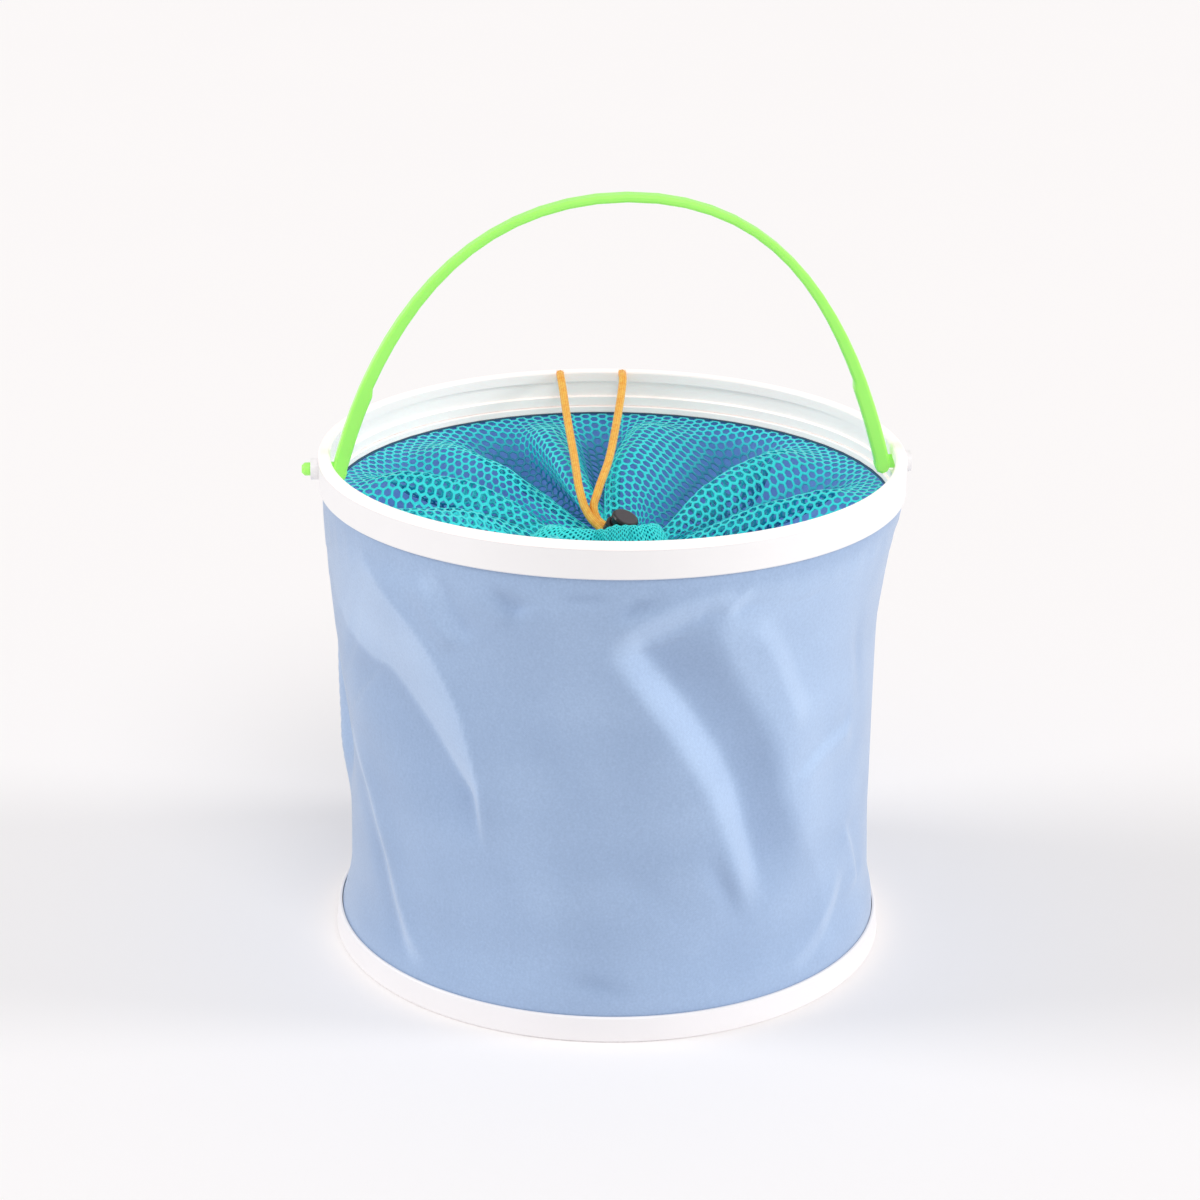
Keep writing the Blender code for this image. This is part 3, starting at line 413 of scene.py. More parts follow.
loop_route = [
    (-0.00363, 0.00463, 0.18816), (-0.00158, 0.00191, 0.18659), (0.00046, -0.00082, 0.18501),
    (0.00250, -0.00354, 0.18343), (0.00457, -0.00625, 0.18188), (0.00446, -0.00866, 0.17995),
    (0.00305, -0.01120, 0.17758), (0.00028, -0.01276, 0.17615), (-0.00337, -0.01204, 0.17650),
    (-0.00678, -0.01050, 0.17650), (-0.00958, -0.00802, 0.17650), (-0.01152, -0.00483, 0.17650),
    (-0.01244, -0.00120, 0.17650), (-0.01224, 0.00253, 0.17650), (-0.01094, 0.00604, 0.17650),
    (-0.00867, 0.00900, 0.17650), (-0.00561, 0.01116, 0.17650), (-0.00206, 0.01232, 0.17650),
    (0.00168, 0.01238, 0.17650), (0.00527, 0.01134, 0.17650), (0.00838, 0.00927, 0.17650),
    (0.01075, 0.00637, 0.17650), (0.01215, 0.00291, 0.17650), (0.01250, -0.00081, 0.17643),
    (0.01174, -0.00437, 0.17644), (0.00939, -0.00500, 0.17921), (0.00723, -0.00408, 0.18157),
    (0.00520, -0.00134, 0.18312), (0.00316, 0.00139, 0.18470), (0.00112, 0.00411, 0.18628),
    (-0.00092, 0.00684, 0.18785),
]


def finer(route, per_span):
    """Catmull-Rom points between those of a route."""
    p = np.array(route)
    p = np.vstack([2 * p[0] - p[1], p, 2 * p[-1] - p[-2]])
    out = []
    for a, b, c, d in zip(p, p[1:], p[2:], p[3:]):
        for i in range(per_span):
            t = i / per_span
            out.append(0.5 * (2 * b + (c - a) * t + (2 * a - 5 * b + 4 * c - d) * t * t
                              + (3 * b - a - 3 * c + d) * t ** 3))
    out.append(p[-2])
    return np.array(out)


def braided(name, route, radius, per_span, sides=24, relief=0.00009, level=0.55):
    """A braided cord as a closed mesh tube, its strands raised over and under each other."""
    line = finer(route, per_span)
    run = np.gradient(line, axis=0)
    run /= np.linalg.norm(run, axis=1)[:, None]
    normal = np.cross(run[0], (0.0, 0.0, 1.0))
    normal /= np.linalg.norm(normal)
    along = 0.0
    points, lengths = [], []
    for i, centre in enumerate(line):
        if i:
            along += float(np.linalg.norm(centre - line[i - 1]))
            normal = normal - run[i] * normal.dot(run[i])
            normal /= np.linalg.norm(normal)
        side = np.cross(run[i], normal)
        for k in range(sides):
            turn_at = tau * k / sides
            a = math.sin(cord_strands * turn_at + cord_strands * tau * along / cord_lay)
            b = math.sin(cord_strands * turn_at - cord_strands * tau * along / cord_lay)
            r = radius + relief * (max(a, b) - level)
            points.append(centre + r * (math.cos(turn_at) * normal + math.sin(turn_at) * side))
        lengths.append(along)
    count = len(line)
    faces = grid_faces(count, sides)
    uvs = []
    for low, high in zip(lengths, lengths[1:]):
        for k in range(sides):
            a, b = k / sides, (k + 1) / sides
            uvs += [(a, low), (b, low), (b, high), (a, high)]
    faces.append(tuple(range(sides - 1, -1, -1)))
    faces.append(tuple((count - 1) * sides + k for k in range(sides)))
    uvs += [(0.5, 0.0)] * (2 * sides)
    obj = mesh_piece(name, points, faces, cord_mat)
    give_uv(obj, "cord", uvs)
    return obj


cord_radius = 1.9 * mm
for word, route, side in (("left", left_route, -1), ("right", right_route, 1)):
    cord = braided("cord_" + word, route, cord_radius, 14)
    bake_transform(cord)
    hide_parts("drawcord_" + word)
loop = braided("cord_loop", loop_route, cord_radius, 7)
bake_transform(loop)
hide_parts("drawcord_loop")

# Wall, in mm: its radii at the waist and where the hoops hold it, and its heights where it comes
# out of them and where its hems end
wall_waist, top_mid, foot_mid = 119.9, 128.3, 123.1
wall_low, wall_high, wall_bottom, hem_top = 11.2, 207.1, 1.9, 217.4
crease_scale = 1.3      # all creases stand this much higher than their own numbers say
crease_start, crease_end = 0.26, 0.20   # shares of its length over which a crease comes and goes
# These are the painted shade in valleys and tucks and the painted light on the right side
valley_painted_shade, tuck_painted_shade, side_painted_light = 0.36, 0.24, 0.57   # how much each moves the tone
tone_low, tone_high = -0.62, 1.0
side_reach = 78.0       # degrees over which a side's own line fades out
# The wall hangs unevenly: its radius by height round its left and its right side
side_lines = [
    (-88, [(11.2, 123.1), (21, 119.9), (32, 118.0), (60, 118.5), (97, 120.3), (134, 123.9),
           (153, 125.6), (172, 126.7), (207.1, 128.3)]),
    (79, [(11.2, 123.1), (20, 122.6), (30, 119.9), (62, 119.1), (137, 118.7), (156, 118.8),
          (175, 120.6), (193, 124.2), (202, 127.2), (207.1, 128.3)]),
]
# Creases of the slack cloth. Each is a crest line (degrees from the front toward +X, height in
# mm), the crest's height, the depth of the valley at the foot of its steep flank, the widths in mm
# of the slope behind it, of the steep flank from the line's start to its end and of the far side
# of the valley, how sharp the crest is, the side that the steep flank is on, how much painted
# light the flank gets, and how softly that starts at the crest and ends at the foot, in mm. A third
# softness is the share of the crease over which the painted light comes up at its start. The
# valley past each flank gets painted shade.
creases = [
    # the long one at the left, its steep flank on the left
    ([(-61, 208), (-58.7, 200), (-47.3, 184), (-40.5, 167), (-35.5, 146), (-32.7, 126),
      (-31.2, 110), (-31, 92), (-30.8, 80)],
     2.6, 3.8, 16.0, (52.0, 47.0, 39.0, 30.0, 20.0, 8.0, 1.5), 26.0, 0.75, -1, 0.74,
     (2.0, 4.0, 0.12)),
    ([(-76, 114), (-71, 104), (-64.5, 88), (-60, 70), (-56.5, 54), (-51, 30), (-43, 17)],
     1.6, 1.0, 9.0, (15.0, 12.0, 8.0), 9.0, 0.3, -1, 0.9, (4.0, 5.0, 0.08)),
    # the two in front, their steep flanks on the right
    ([(-6, 188), (-5.2, 180), (-4.2, 172), (2, 153.8), (8.8, 132), (15, 109), (18.6, 88), (22, 68),
      (25.5, 48)], 3.3, 2.9, 22.0, (13.0, 16.0, 12.0), 20.0, 0.25, 1, 0.76, (8.0, 5.0, 0.09)),
    ([(19, 209), (12.5, 204.6), (8, 201.5), (3.2, 196.4), (-1.6, 190.9), (-5.5, 183)],
     1.5, 0.8, 9.0, (10.0, 13.0), 11.0, 0.2, 1, 0.62, (6.0, 7.0, 0.10)),
    ([(16, 206), (14.5, 193), (17, 178), (22, 158), (27, 140), (31, 122), (33, 104), (37, 82),
      (41, 62)], 2.6, 0.4, 11.0, (34.0, 34.0), 24.0, 0.35, 1, 0.0, (3.0, 8.0)),
    ([(21, 187), (24.5, 180), (27.2, 172.7), (30.7, 159.2), (34.5, 142.9), (38.6, 130)],
     0.9, 0.5, 8.0, (9.0, 12.0), 10.0, 0.3, 1, 0.36, (4.0, 8.0, 0.15)),
    ([(22, 206), (18.5, 200), (16.4, 194)],
     0.8, 0.5, 5.0, (5.0, 6.0), 6.0, 0.4, 1, 0.42, (2.0, 4.0, 0.2)),
    # small ones by the rim and on the right
    ([(-45, 206), (-42, 196), (-40, 187), (-35, 173)],
     1.5, 1.3, 7.0, (10.0, 6.0), 8.0, 0.5, 1, 0.45, (3.0, 3.0)),
    ([(-31, 208), (-27, 200), (-23, 190)], 0.9, 2.0, 8.0, (6.0, 5.0), 7.0, 0.4, 1, 0.1, (2.0, 3.0)),
    ([(36, 104), (46, 113), (60, 118)], 0.8, 0.5, 9.0, (6.0, 6.0), 9.0, 0.4, 1, 0.25, (2.0, 3.0)),
    ([(56, 72), (61, 55), (65, 36)], 0.8, 0.5, 7.0, (5.0, 4.0), 8.0, 0.4, 1, 0.3, (2.0, 2.0)),
    ([(54, 56), (50, 40), (42, 28), (34, 21)],
     0.9, 0.4, 9.0, (10.0, 9.0), 9.0, 0.4, 1, 0.32, (3.0, 4.0)),
    # sides and back
    ([(-172, 196), (-166, 165), (-152, 130), (-143, 92), (-137, 60)],
     3.0, 3.2, 20.0, (20.0, 9.0), 18.0, 0.4, -1, 0.6, (4.0, 6.0)),
    ([(-128, 204), (-116, 176), (-106, 140), (-99, 104), (-90, 62)],
     2.8, 3.0, 20.0, (24.0, 9.0), 18.0, 0.5, 1, 0.6, (4.0, 6.0)),
    ([(-118, 96), (-112, 66), (-102, 38)],
     1.6, 1.4, 10.0, (10.0, 6.0), 12.0, 0.4, -1, 0.4, (3.0, 4.0)),
    ([(84, 204), (90, 176), (100, 140), (104, 104), (112, 66)],
     3.0, 3.2, 20.0, (22.0, 9.0), 18.0, 0.4, 1, 0.6, (4.0, 6.0)),
    ([(124, 200), (133, 166), (138, 130), (150, 92), (154, 58)],
     2.6, 3.0, 18.0, (20.0, 8.0), 18.0, 0.5, -1, 0.6, (4.0, 6.0)),
    ([(118, 92), (126, 64), (132, 34)],
     1.5, 1.4, 10.0, (10.0, 6.0), 12.0, 0.4, 1, 0.4, (3.0, 4.0)),
    ([(168, 120), (164, 92), (168, 60)],
     1.6, 1.4, 10.0, (10.0, 7.0), 12.0, 0.4, 1, 0.4, (3.0, 4.0)),
]
# Painted light: the cloth is painted paler right of this line, given as (height in mm, degrees from
# the front)
painted_light_line = [(50, 46), (63, 43), (75, 39.5), (100, 33.7), (118, 31.4), (133, 29.4), (147, 25.2),
             (171, 17.6), (181, 15.2), (191, 14.6), (201, 17.7), (207, 20)]
# Tucks under the rim and shallow dents lower down: place (degrees, height in mm), half length and
# half width in mm, depth in mm, slope in degrees. Each also gets painted shade, darker the deeper
# it is.
tucks = [((-10, 203.5), (8.0, 2.4), 2.8, 0), ((1, 200.5), (9.0, 3.0), 2.6, 30),
         ((-26, 201), (10.0, 3.0), 2.4, -55), ((-6, 23), (13.0, 5.0), 1.6, -14),
         ((13, 197), (9.0, 2.6), 0.8, 84), ((19, 67), (15.0, 4.5), 1.8, -63),
         ((72, 202), (10.0, 5.0), 1.5, -15), ((110, 202), (11.0, 3.0), 2.0, 10),
         ((-100, 202), (10.0, 3.0), 2.2, -12), ((-150, 201), (9.0, 4.0), 1.8, 20),
         ((150, 202), (9.0, 3.0), 1.8, -20), ((-62, 60), (14.0, 7.0), 0.8, -60),
         ((60, 150), (20.0, 5.0), 0.7, -70), ((-14, 120), (24.0, 6.0), 0.7, -58),
         ((2, 70), (20.0, 7.0), 0.6, -40), ((-25, 60), (18.0, 7.0), 0.6, -70)]


def smooth_line(line, z):
    """A line of (height, value) points, rounded over about a centimetre."""
    at, value = zip(*line)
    shifts = np.linspace(-9.0, 9.0, 13)
    weights = np.exp(-(shifts / 5.0) ** 2)
    out = sum(w * np.interp(z + d, at, value) for w, d in zip(weights, shifts))
    return out / weights.sum()


def turned_from(angle, centre):
    """The angle as seen from a centre, between half a turn back and half a turn on."""
    return (angle - centre + math.pi) % tau - math.pi


def crease_form(angle, z):
    """The cloth off its smooth form in mm, and its tone of painted light and shade with mottling,
    at arrays of angle and z (mm).
    """
    total = np.zeros_like(angle)
    tone = np.zeros_like(angle)
    for line, rise, drop, behind, flank, far, sharp, way, pale, soft in creases:
        knots = finer([(math.radians(a) * wall_waist, h) for a, h in line], 4)
        best = np.full(angle.shape, 1e9)
        signed = np.zeros_like(angle)
        share = np.zeros_like(angle)
        lengths = np.linalg.norm(np.diff(knots, axis=0), axis=1)
        reach = np.concatenate([[0.0], np.cumsum(lengths)])
        for i in range(len(knots) - 1):
            run = knots[i + 1] - knots[i]
            x = turned_from(angle, knots[i, 0] / wall_waist) * wall_waist
            y = z - knots[i, 1]
            t = (x * run[0] + y * run[1]) / run.dot(run)
            t = np.clip(t, 0.0, 1.0)
            away = np.hypot(x - t * run[0], y - t * run[1])
            side = np.sign(y * run[0] - x * run[1])
            near = away < best
            best = np.where(near, away, best)
            signed = np.where(near, side * away, signed)
            share = np.where(near, (reach[i] + t * lengths[i]) / reach[-1], share)
        signed = signed * way
        quick = soft[2] if len(soft) > 2 else crease_start
        close = ease((1.0 - share) / crease_end + 0.04)
        fade = ease(share / crease_start + 0.10) * close
        seen = ease(share / quick + 0.10) * close
        width = np.interp(share, np.linspace(0.0, 1.0, len(flank)), flank)
        t = np.clip(signed / width, 0.0, 1.0)
        down = rise - (rise + drop) * ((1.0 - sharp) * ease(t) + sharp * t)
        past = np.exp(-(np.clip(signed - width, 0.0, None) / far) ** 2)
        steep = np.where(signed > width, -drop * past, down)
        slope = np.abs(signed) / behind
        back = rise * ((1.0 - sharp) * np.exp(-slope ** 2) + sharp * np.exp(-1.6 * slope))
        total += crease_scale * fade * np.where(signed > 0, steep, back)
        # Painted light on the steep flank, and painted shade in the valley past it
        into = ease((signed + 0.4 * soft[0]) / soft[0])
        painted_flank_light = into * (1.0 - ease((signed - width + 0.6 * soft[1]) / soft[1]))
        shade = ease((signed - width) / soft[1]) * past
        tone += seen * pale * painted_flank_light - valley_painted_shade * fade * min(1.0, drop / 3.0) * shade
    for (at, high), (long, wide), deep, slope in tucks:
        x = turned_from(angle, math.radians(at)) * wall_waist
        y = z - high
        c, d = math.cos(math.radians(slope)), math.sin(math.radians(slope))
        x, y = (x * c + y * d) / long, (y * c - x * d) / wide
        total -= deep * np.exp(-(x * x + y * y))
        # Painted shade in the tuck
        tone -= tuck_painted_shade * deep * np.exp(-(x * x + (y - 0.4) ** 2))
    # Painted light on the cloth right of its line, painted shade in the strip beside it and on the
    # left side
    edge = np.radians(smooth_line(painted_light_line, z))
    side = turned_from(angle, 0.0)
    region = ease((side - edge) / 0.06) * (1.0 - ease((side - 0.75) / 0.6))
    tone += side_painted_light * region * (0.45 + 0.55 * ease((z - 25.0) / 90.0))
    beside = ease((edge - side) / 0.03) * np.exp(-((edge - side) / 0.11) ** 2)
    tone -= 0.30 * beside * ease((z - 60.0) / 40.0) * (1.0 - 0.75 * ease((z - 155.0) / 30.0))
    tone -= 0.34 * ease((-0.45 - side) / 0.6) * ease((172.0 - z) / 50.0)
    mottle = (np.sin(7 * angle + z / 17.0) * np.sin(z / 13.0 - 5 * angle + 1.0)
              + 0.7 * np.sin(13 * angle - z / 11.0 + 2.0) * np.sin(z / 8.0 + 9 * angle))
    return total, np.clip(tone + 0.11 * mottle, tone_low, tone_high)


def bell(angle, centre, half_width):
    """1 at the centre, falling softly to 0 at the half width. These two are in degrees."""
    off = turned_from(angle, math.radians(centre))
    return np.cos(np.clip(off / math.radians(half_width), -1.0, 1.0) * math.pi / 2.0) ** 2


def wall_radius(angle, z):
    """Mid radius of the wall in mm, and its tone of painted light and shade. The creases are the
    CAD's, finer and deeper.
    """
    share = (z - wall_low) / (wall_high - wall_low)
    # It widens toward the rim over the top 38 hundredths of its height, and toward the foot over
    # the lowest 13
    top = ease((share - 0.62) / 0.38) ** 1.5
    foot = ease((0.13 - share) / 0.13)
    radius = wall_waist + (top_mid - wall_waist) * top + (foot_mid - wall_waist) * foot
    for centre, line in side_lines:
        radius = radius + bell(angle, centre, side_reach) * (smooth_line(line, z) - radius)
    # Creases and slack die out at the hoops, where it is held, and at the welded seam
    free = (1.0 - ease((share - 0.935) / 0.06)) * ease(share / 0.08)
    off_seam = (math.pi - np.abs(turned_from(angle, 0.0))) * wall_waist
    seam = ease((off_seam - 7.0) / 26.0)
    slack = (0.55 * np.sin(3 * angle + 0.7 + z / 60.0) + 0.40 * np.sin(5 * angle - z / 38.0 + 2.0)
             + 0.22 * np.sin(9 * angle + z / 23.0 + 1.1)
             + 0.12 * np.sin(17 * angle - z / 9.0) * np.sin(z / 31.0 + 4 * angle))
    pucker = 0.10 * np.sin(61 * angle + 3.0 * np.sin(4 * angle)) * ease((share - 0.88) / 0.10)
    form, tone = crease_form(angle, z)
    out = radius + (form + slack) * free * seam + pucker
    out = np.where(z > wall_high, top_mid, np.where(z < wall_low, foot_mid, out))
    return out, tone * seam * (1.0 - ease((share - 0.97) / 0.05)) * ease(share / 0.05)


def wall_piece(name, angles, heights, offset, thick, closed, materials):
    """A cloth on the wall's form, offset from it and thick in mm, with its weave and its tone."""
    turn_at, z = np.meshgrid(angles, heights)
    radius, tone = wall_radius(turn_at, z)
    radius = radius + offset
    points = np.stack([radius * np.sin(turn_at), -radius * np.cos(turn_at), z], -1) * mm
    rows, columns = turn_at.shape
    uvs = []
    step = angles[1] - angles[0]
    for low, high in zip(heights * mm, heights[1:] * mm):
        for angle in angles if closed else angles[:-1]:
            a, b = angle * wall_waist * mm, (angle + step) * wall_waist * mm
            uvs += [(a, low), (b, low), (b, high), (a, high)]
    faces = grid_faces(rows, columns, columns_close=closed)
    obj = mesh_piece(name, points.reshape(-1, 3), faces, materials[0])
    for more in materials[1:]:
        obj.data.materials.append(more)
    give_uv(obj, "cloth", uvs)
    give_tone(obj, tone)
    return solidify(obj, thick * mm, inside=len(materials) - 1)


wall_columns, wall_rows = 384, 140
wall_angles = np.arange(wall_columns) * tau / wall_columns - math.pi + 0.001
wall_heights = np.concatenate([[wall_bottom, 7.0], np.linspace(10.6, 208.0, wall_rows),
                               [211.0, hem_top]])
wall = wall_piece("wall_cloth", wall_angles, wall_heights, 0.0, 0.4, True,
                  (wall_mat, inside_cloth.mat))
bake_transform(wall)
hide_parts("wall_fabric")

tape_half = 6.0 / wall_waist
tape_angles = np.linspace(math.pi - tape_half, math.pi + tape_half, 9)
tape_heights = np.linspace(11.6, 211.8, 90)
tape = wall_piece("wall_tape", tape_angles, tape_heights, 0.55, 0.35, False, (tape_mat,))
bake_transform(tape)
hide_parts("wall_seam_tape")

# Net, in mm: heights of its gathered mouth and of its edge, radii of its edge and its mouth
net_columns, net_rows = 192, 26
gather_z, edge_z, net_out, net_in = 176.5, 206.8, 123.4, 16.25
net_length = 777.0      # flat length of the net round its edge
folds = 11
net_turn = 0.35         # the folds' place round the bucket, in radians
net_floor = 174.6       # the net lies nearly flat below this height
# How far the net's run swings to either side so that it takes up its length: for the share that
# the circle there is of the net's length, the angle in radians (the inverse of the Bessel J0)
swing_share = [0.10, 0.18, 0.27, 0.36, 0.45, 0.54, 0.63, 0.72, 0.81, 0.88, 0.94, 0.98, 1.00]
swing_angle = [2.20, 2.07, 1.92, 1.77, 1.61, 1.46, 1.29, 1.11, 0.90, 0.71, 0.50, 0.28, 0.00]


def fold_table(samples=2400, levels=54):
    """Angle round the bucket and height of the folded net, by share round it and share inward."""
    s = np.linspace(0.0, 1.0, samples + 1)
    u = s * tau
    # The sines make the folds uneven in width, height and lean
    phase = folds * u + 0.8 * np.sin(2 * u + 1.1) + 0.6 * np.sin(3 * u + 2.3) + 0.3 * np.sin(5 * u)
    crowd = np.gradient(phase, u) / folds
    strength = (0.98 + 0.07 * np.sin(2 * u - 0.7) + 0.08 * np.sin(5 * u + 0.6)) * crowd ** 0.30
    lean = 0.9 * np.tanh(2.0 * np.sin(u + 1.2)) + 0.35 * np.sin(4 * u)
    turns, heights = [], []
    for v in np.linspace(0.0, 1.0, levels + 1):
        radius = net_out + (net_in - net_out) * v
        swing = np.interp(tau * radius / net_length, swing_share, swing_angle)
        run = swing * strength * np.sin(phase + 0.5 * v * np.sin(3 * u))
        step = net_length / samples
        across = np.concatenate([[0.0], np.cumsum(0.5 * (np.cos(run[1:]) + np.cos(run[:-1])))])
        rise = np.concatenate([[0.0], np.cumsum(0.5 * (np.sin(run[1:]) + np.sin(run[:-1])))])
        rise = (rise - s * rise[-1]) * step
        rise = rise - rise.mean()
        depth = 0.88 * (1.0 - 0.70 * ease((v - 0.45) / 0.5)) * ease(v / 0.26 + 0.02)
        turn = tau * across / across[-1]
        turn = turn + lean * 0.75 * rise / radius * (1.0 - ease((v - 0.6) / 0.4)) * ease(v / 0.3)
        turns.append(turn)
        heights.append(rise * depth)
    return np.array(turns), np.array(heights)


fold_turns, fold_heights = fold_table()


def looked_up(table, s, v):
    """Values of a table at arrays of share round and share inward, between its samples."""
    levels, samples = table.shape[0] - 1, table.shape[1] - 1
    i = np.clip((v * levels).astype(int), 0, levels - 1)
    k = np.clip((s * samples).astype(int), 0, samples - 1)
    b, a = v * levels - i, s * samples - k
    return ((table[i, k] * (1 - a) + table[i, k + 1] * a) * (1 - b)
            + (table[i + 1, k] * (1 - a) + table[i + 1, k + 1] * a) * b)


def net_place(column, row):
    """A point of the drawn-in net in mm. Its pleats take up the length that the circle lacks."""
    v = np.clip(row / net_rows, 0.0, 1.0)
    s = (column / net_columns) % 1.0
    radius = net_out + (net_in - net_out) * v
    inward = (radius - net_in) / (net_out - net_in)
    angle = looked_up(fold_turns, s, v) + net_turn
    lift = looked_up(fold_heights, s, v)
    u = s * tau
    z = gather_z + (edge_z - gather_z) * inward ** 0.88 + lift
    z = z + np.sin(math.pi * v) * (1.2 * np.sin(3 * u + 0.5) + 0.8 * np.sin(5 * u + 2.0))
    crumple = ease(v / 0.3) * (0.35 * np.sin(23 * u + 40 * v) * np.sin(31 * v - 9 * u)
                               + 0.25 * np.sin(57 * u - 25 * v + 1.0))
    z = z + crumple
    z = np.where(z < net_floor, net_floor + 0.25 * (z - net_floor), z)
    return np.stack([radius * np.cos(angle), radius * np.sin(angle), z], -1)


def net_tone(column, row):
    """Painted shade and light: 0 in the folds' valleys, 1 on their crests."""
    v = np.clip(row / net_rows, 0.0, 1.0)
    lift = looked_up(fold_heights, (column / net_columns) % 1.0, v)
    return np.clip(0.52 + 0.075 * lift, 0.0, 1.0)       # full from about 6 mm up or down


def hex_net(name, columns, rows, place, closed, hole, thick, material, tone=None):
    """A knitted net: a honeycomb of cells with an opening in each, as one thin shell."""
    corners = [(2, 0), (1, 1), (-1, 1), (-2, 0), (-1, -1), (1, -1)]
    index, at, faces = {}, [], []
    for i in range(columns):
        for j in range(-(i % 2), rows):
            cx, cy = 3 * i, 2 * j + (i % 2) + 1
            ring = []
            for dx, dy in corners:
                kx = (cx + dx) % (3 * columns) if closed else cx + dx
                key = (kx, cy + dy)
                if key not in index:
                    index[key] = len(at)
                    at.append(((cx + dx) / 3.0, (cy + dy) / 2.0))
                ring.append(index[key])
            inner = []
            for dx, dy in corners:
                inner.append(len(at))
                at.append(((cx + dx * hole) / 3.0, (cy + dy * hole) / 2.0))
            for k in range(6):
                m = (k + 1) % 6
                quad = (ring[k], ring[m], inner[m], inner[k])
                if max(at[q][1] for q in quad) > 0.0 and min(at[q][1] for q in quad) < rows:
                    faces.append(quad)
    at = np.array(at)
    used = sorted({q for quad in faces for q in quad})
    renumber = {q: n for n, q in enumerate(used)}
    faces = [tuple(renumber[q] for q in quad) for quad in faces]
    at = at[used]
    obj = mesh_piece(name, place(at[:, 0], at[:, 1]) * mm, faces, material)
    if tone:
        give_tone(obj, tone(at[:, 0], at[:, 1]))
    return solidify(obj, thick * mm)


net = hex_net("net_mesh", net_columns, net_rows, net_place, True, 0.74, 0.40, net_mat,
              net_tone)
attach(net, "rim")
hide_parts("net_cover")

# Casing, drawn into puckers round the cord, with a mouth for the cord toward the lock
casing_ring, casing_tube = 12.5, 2.75
mouth_at, mouth_radius = np.array((7.9, -9.7, 176.5)), 7.4
mouth_axis = np.array((-0.4469, 0.5480, 0.7071))
rings, sides = 220, 26
points = []
for i in range(rings):
    a = tau * i / rings
    for k in range(sides):
        b = tau * k / sides
        tuck = 0.30 * math.cos(34 * a + 1.5 * math.sin(3 * a)) + 0.12 * math.cos(71 * a + b)
        r = casing_tube + tuck * (0.6 + 0.4 * math.sin(b))
        points.append(((casing_ring + r * math.cos(b)) * math.cos(a),
                       (casing_ring + r * math.cos(b)) * math.sin(a),
                       gather_z + r * math.sin(b)))
points = np.array(points)
faces = []
for a, b, c, d in grid_faces(rings, sides, rows_close=True):
    middle = points[[a, d, c, b]].mean(0) - mouth_at
    beside = middle - mouth_axis * middle.dot(mouth_axis)
    if middle.dot(mouth_axis) <= 0 or np.linalg.norm(beside) >= mouth_radius:
        faces.append((a, d, c, b))
casing = mesh_piece("net_hem", points * mm, faces, casing_mat)
solidify(casing, 0.4 * mm, -1.0)
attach(casing, "rim")
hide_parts("net_casing")

# Frill, the net's own edge standing up past the casing
frill_columns, frill_rows = 120, 18
frill_start, frill_sweep = -212.0, 230.0        # degrees round the casing
frill_foot = 2.7                                # height of its foot above the cord


def frill_place(column, row):
    """The frill rises from the casing and curls over outward in two lobes, the left one wider."""
    along = np.clip(column / frill_columns, 0.0, 1.0)
    t = np.clip(row / frill_rows, 0.0, 1.0)
    angle = np.radians(frill_start) + np.radians(frill_sweep) * along
    tall = ease(3.2 * along) * ease(3.2 * (1.0 - along))
    notch = np.exp(-((np.degrees(angle) + 110.0) / 13.0) ** 2)
    reach = 9.0 + 31.0 * np.exp(-((np.degrees(angle) + 148.0) / 38.0) ** 2)
    reach = reach + 14.0 * np.exp(-((np.degrees(angle) + 50.0) / 30.0) ** 2)
    reach = reach * (1.0 - 0.42 * notch) * tall
    small = np.sin(tau * 15 * along + 1.4 * np.sin(tau * 3 * along))
    curl = t * (2.0 - t)
    curl = curl - 0.55 * ease((t - 0.45) / 0.55) ** 2
    height = 0.3 + (2.0 + 21.5 * tall * (1.0 - 0.16 * notch)) * curl
    radius = casing_ring + 0.4 + reach * t ** 1.25 + 0.9 * small * t
    height = height + 0.45 * np.sin(tau * 23 * along) * t * tall
    return np.stack([radius * np.cos(angle), radius * np.sin(angle),
                     gather_z + frill_foot + height], -1)


frill = hex_net("net_ruffle", frill_columns, frill_rows, frill_place, False, 0.55, 0.34,
                frill_mat)
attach(frill, "rim")
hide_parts("net_frill")

# Binding of the net's edge, a cuff round the ring with its foot turned in
cuff = [(126.35, 210.1), (126.62, 210.2), (126.68, 209.5), (126.68, 207.3), (126.5, 206.65),
        (126.0, 206.45), (124.6, 206.4), (124.15, 206.5), (123.95, 206.8), (124.15, 207.08),
        (124.8, 207.15), (126.1, 207.15), (126.32, 207.4), (126.35, 208.4)]
cuff_steps, cuff_foot, stitches = 192, 125.5, 48
points = []
for i in range(cuff_steps):
    a = tau * i / cuff_steps
    for r, z in cuff:
        r += 0.05 * math.sin(stitches * a) if r < cuff_foot else 0.0
        points.append((r * math.cos(a) * mm, r * math.sin(a) * mm, z * mm))
binding = mesh_piece("net_edging", points, grid_faces(cuff_steps, len(cuff), rows_close=True),
                     binding_mat)
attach(binding, "rim")
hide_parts("net_binding")

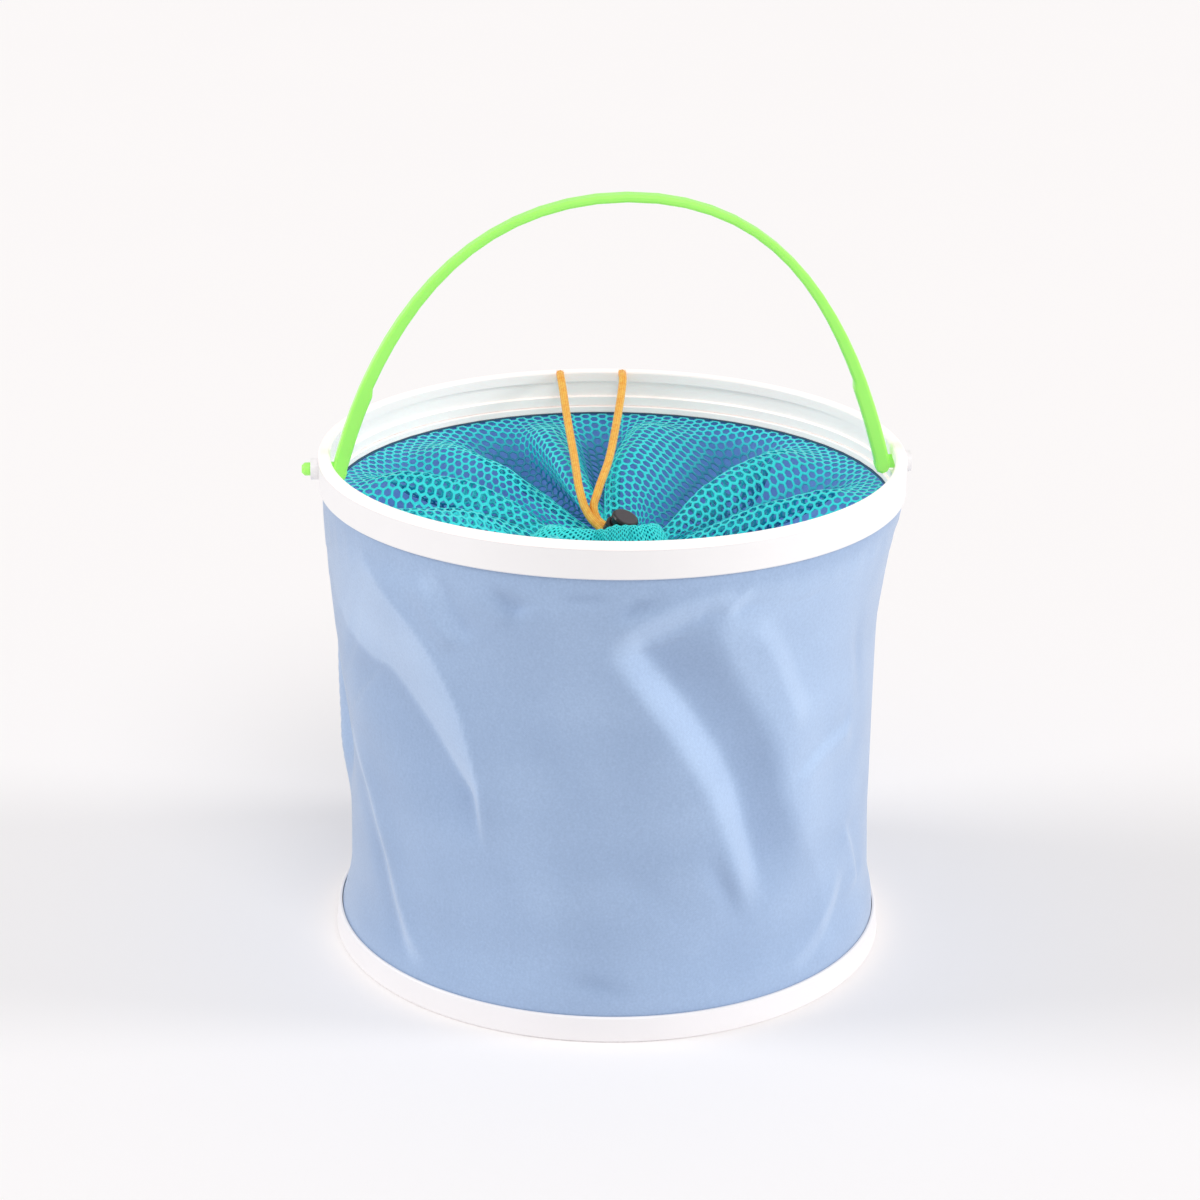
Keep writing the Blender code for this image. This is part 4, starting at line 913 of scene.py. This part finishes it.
# Bead that closes the joint between the rim's hoop and its lip
bead_line = [(128.2, 225.0), (129.2, 224.9), (129.86, 224.95), (130.0, 225.25), (129.86, 225.55),
             (129.2, 225.6), (128.2, 225.5)]
bead_steps = 240
points = []
for i in range(bead_steps):
    a = tau * i / bead_steps
    points += [(r * math.cos(a) * mm, r * math.sin(a) * mm, z * mm) for r, z in bead_line]
faces = [(a, d, c, b) for a, b, c, d in grid_faces(bead_steps, len(bead_line), rows_close=True)]
bead = mesh_piece("rim_bead", points, faces, white)
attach(bead, "rim")

# UVs of the base panel's cloth
panel = nodes["base_panel"]
layer = panel.data.uv_layers.new(name="cloth")
for loop_corner in panel.data.loops:
    co = panel.data.vertices[loop_corner.vertex_index].co
    layer.data[loop_corner.index].uv = (co.x, co.y)

# Stage and light
floor_mesh = bpy.data.meshes.new("studio_floor")
bm = bmesh.new()
bmesh.ops.create_grid(bm, x_segments=2, y_segments=2, size=6.0)
bm.to_mesh(floor_mesh)
bm.free()
floor = bpy.data.objects.new("studio_floor", floor_mesh)
scene.collection.objects.link(floor)
floor_look = Graph("studio_floor_paper", 0.9, Specular_IOR_Level=0.1)
floor_look.link(floor_look.ramp(floor_look.noise(3.0), [(0.0, (0.950, 0.926, 0.920)),
                                                       (1.0, (0.960, 0.936, 0.930))]),
                "Base Color")
floor_mesh.materials.append(floor_look.mat)

world = bpy.data.worlds.new("studio")
scene.world = world
world.use_nodes = True
background = world.node_tree.nodes["Background"]
background.inputs["Color"].default_value = (1.0, 0.992, 0.996, 1.0)
background.inputs["Strength"].default_value = 0.60


def sun(name, toward, strength, wide):
    """A soft sun that shines from a direction, as wide as this in degrees."""
    data = bpy.data.lights.new(name, "SUN")
    data.energy = strength
    data.angle = math.radians(wide)
    obj = bpy.data.objects.new(name, data)
    scene.collection.objects.link(obj)
    obj.rotation_mode = "QUATERNION"
    obj.rotation_quaternion = Vector(toward).to_track_quat("Z", "Y")


sun("left", (-0.86, 0.06, 0.50), 1.00, 24.0)
sun("right", (0.95, -0.10, 0.31), 1.10, 16.0)
sun("front", (0.15, -0.66, 0.74), 0.66, 30.0)
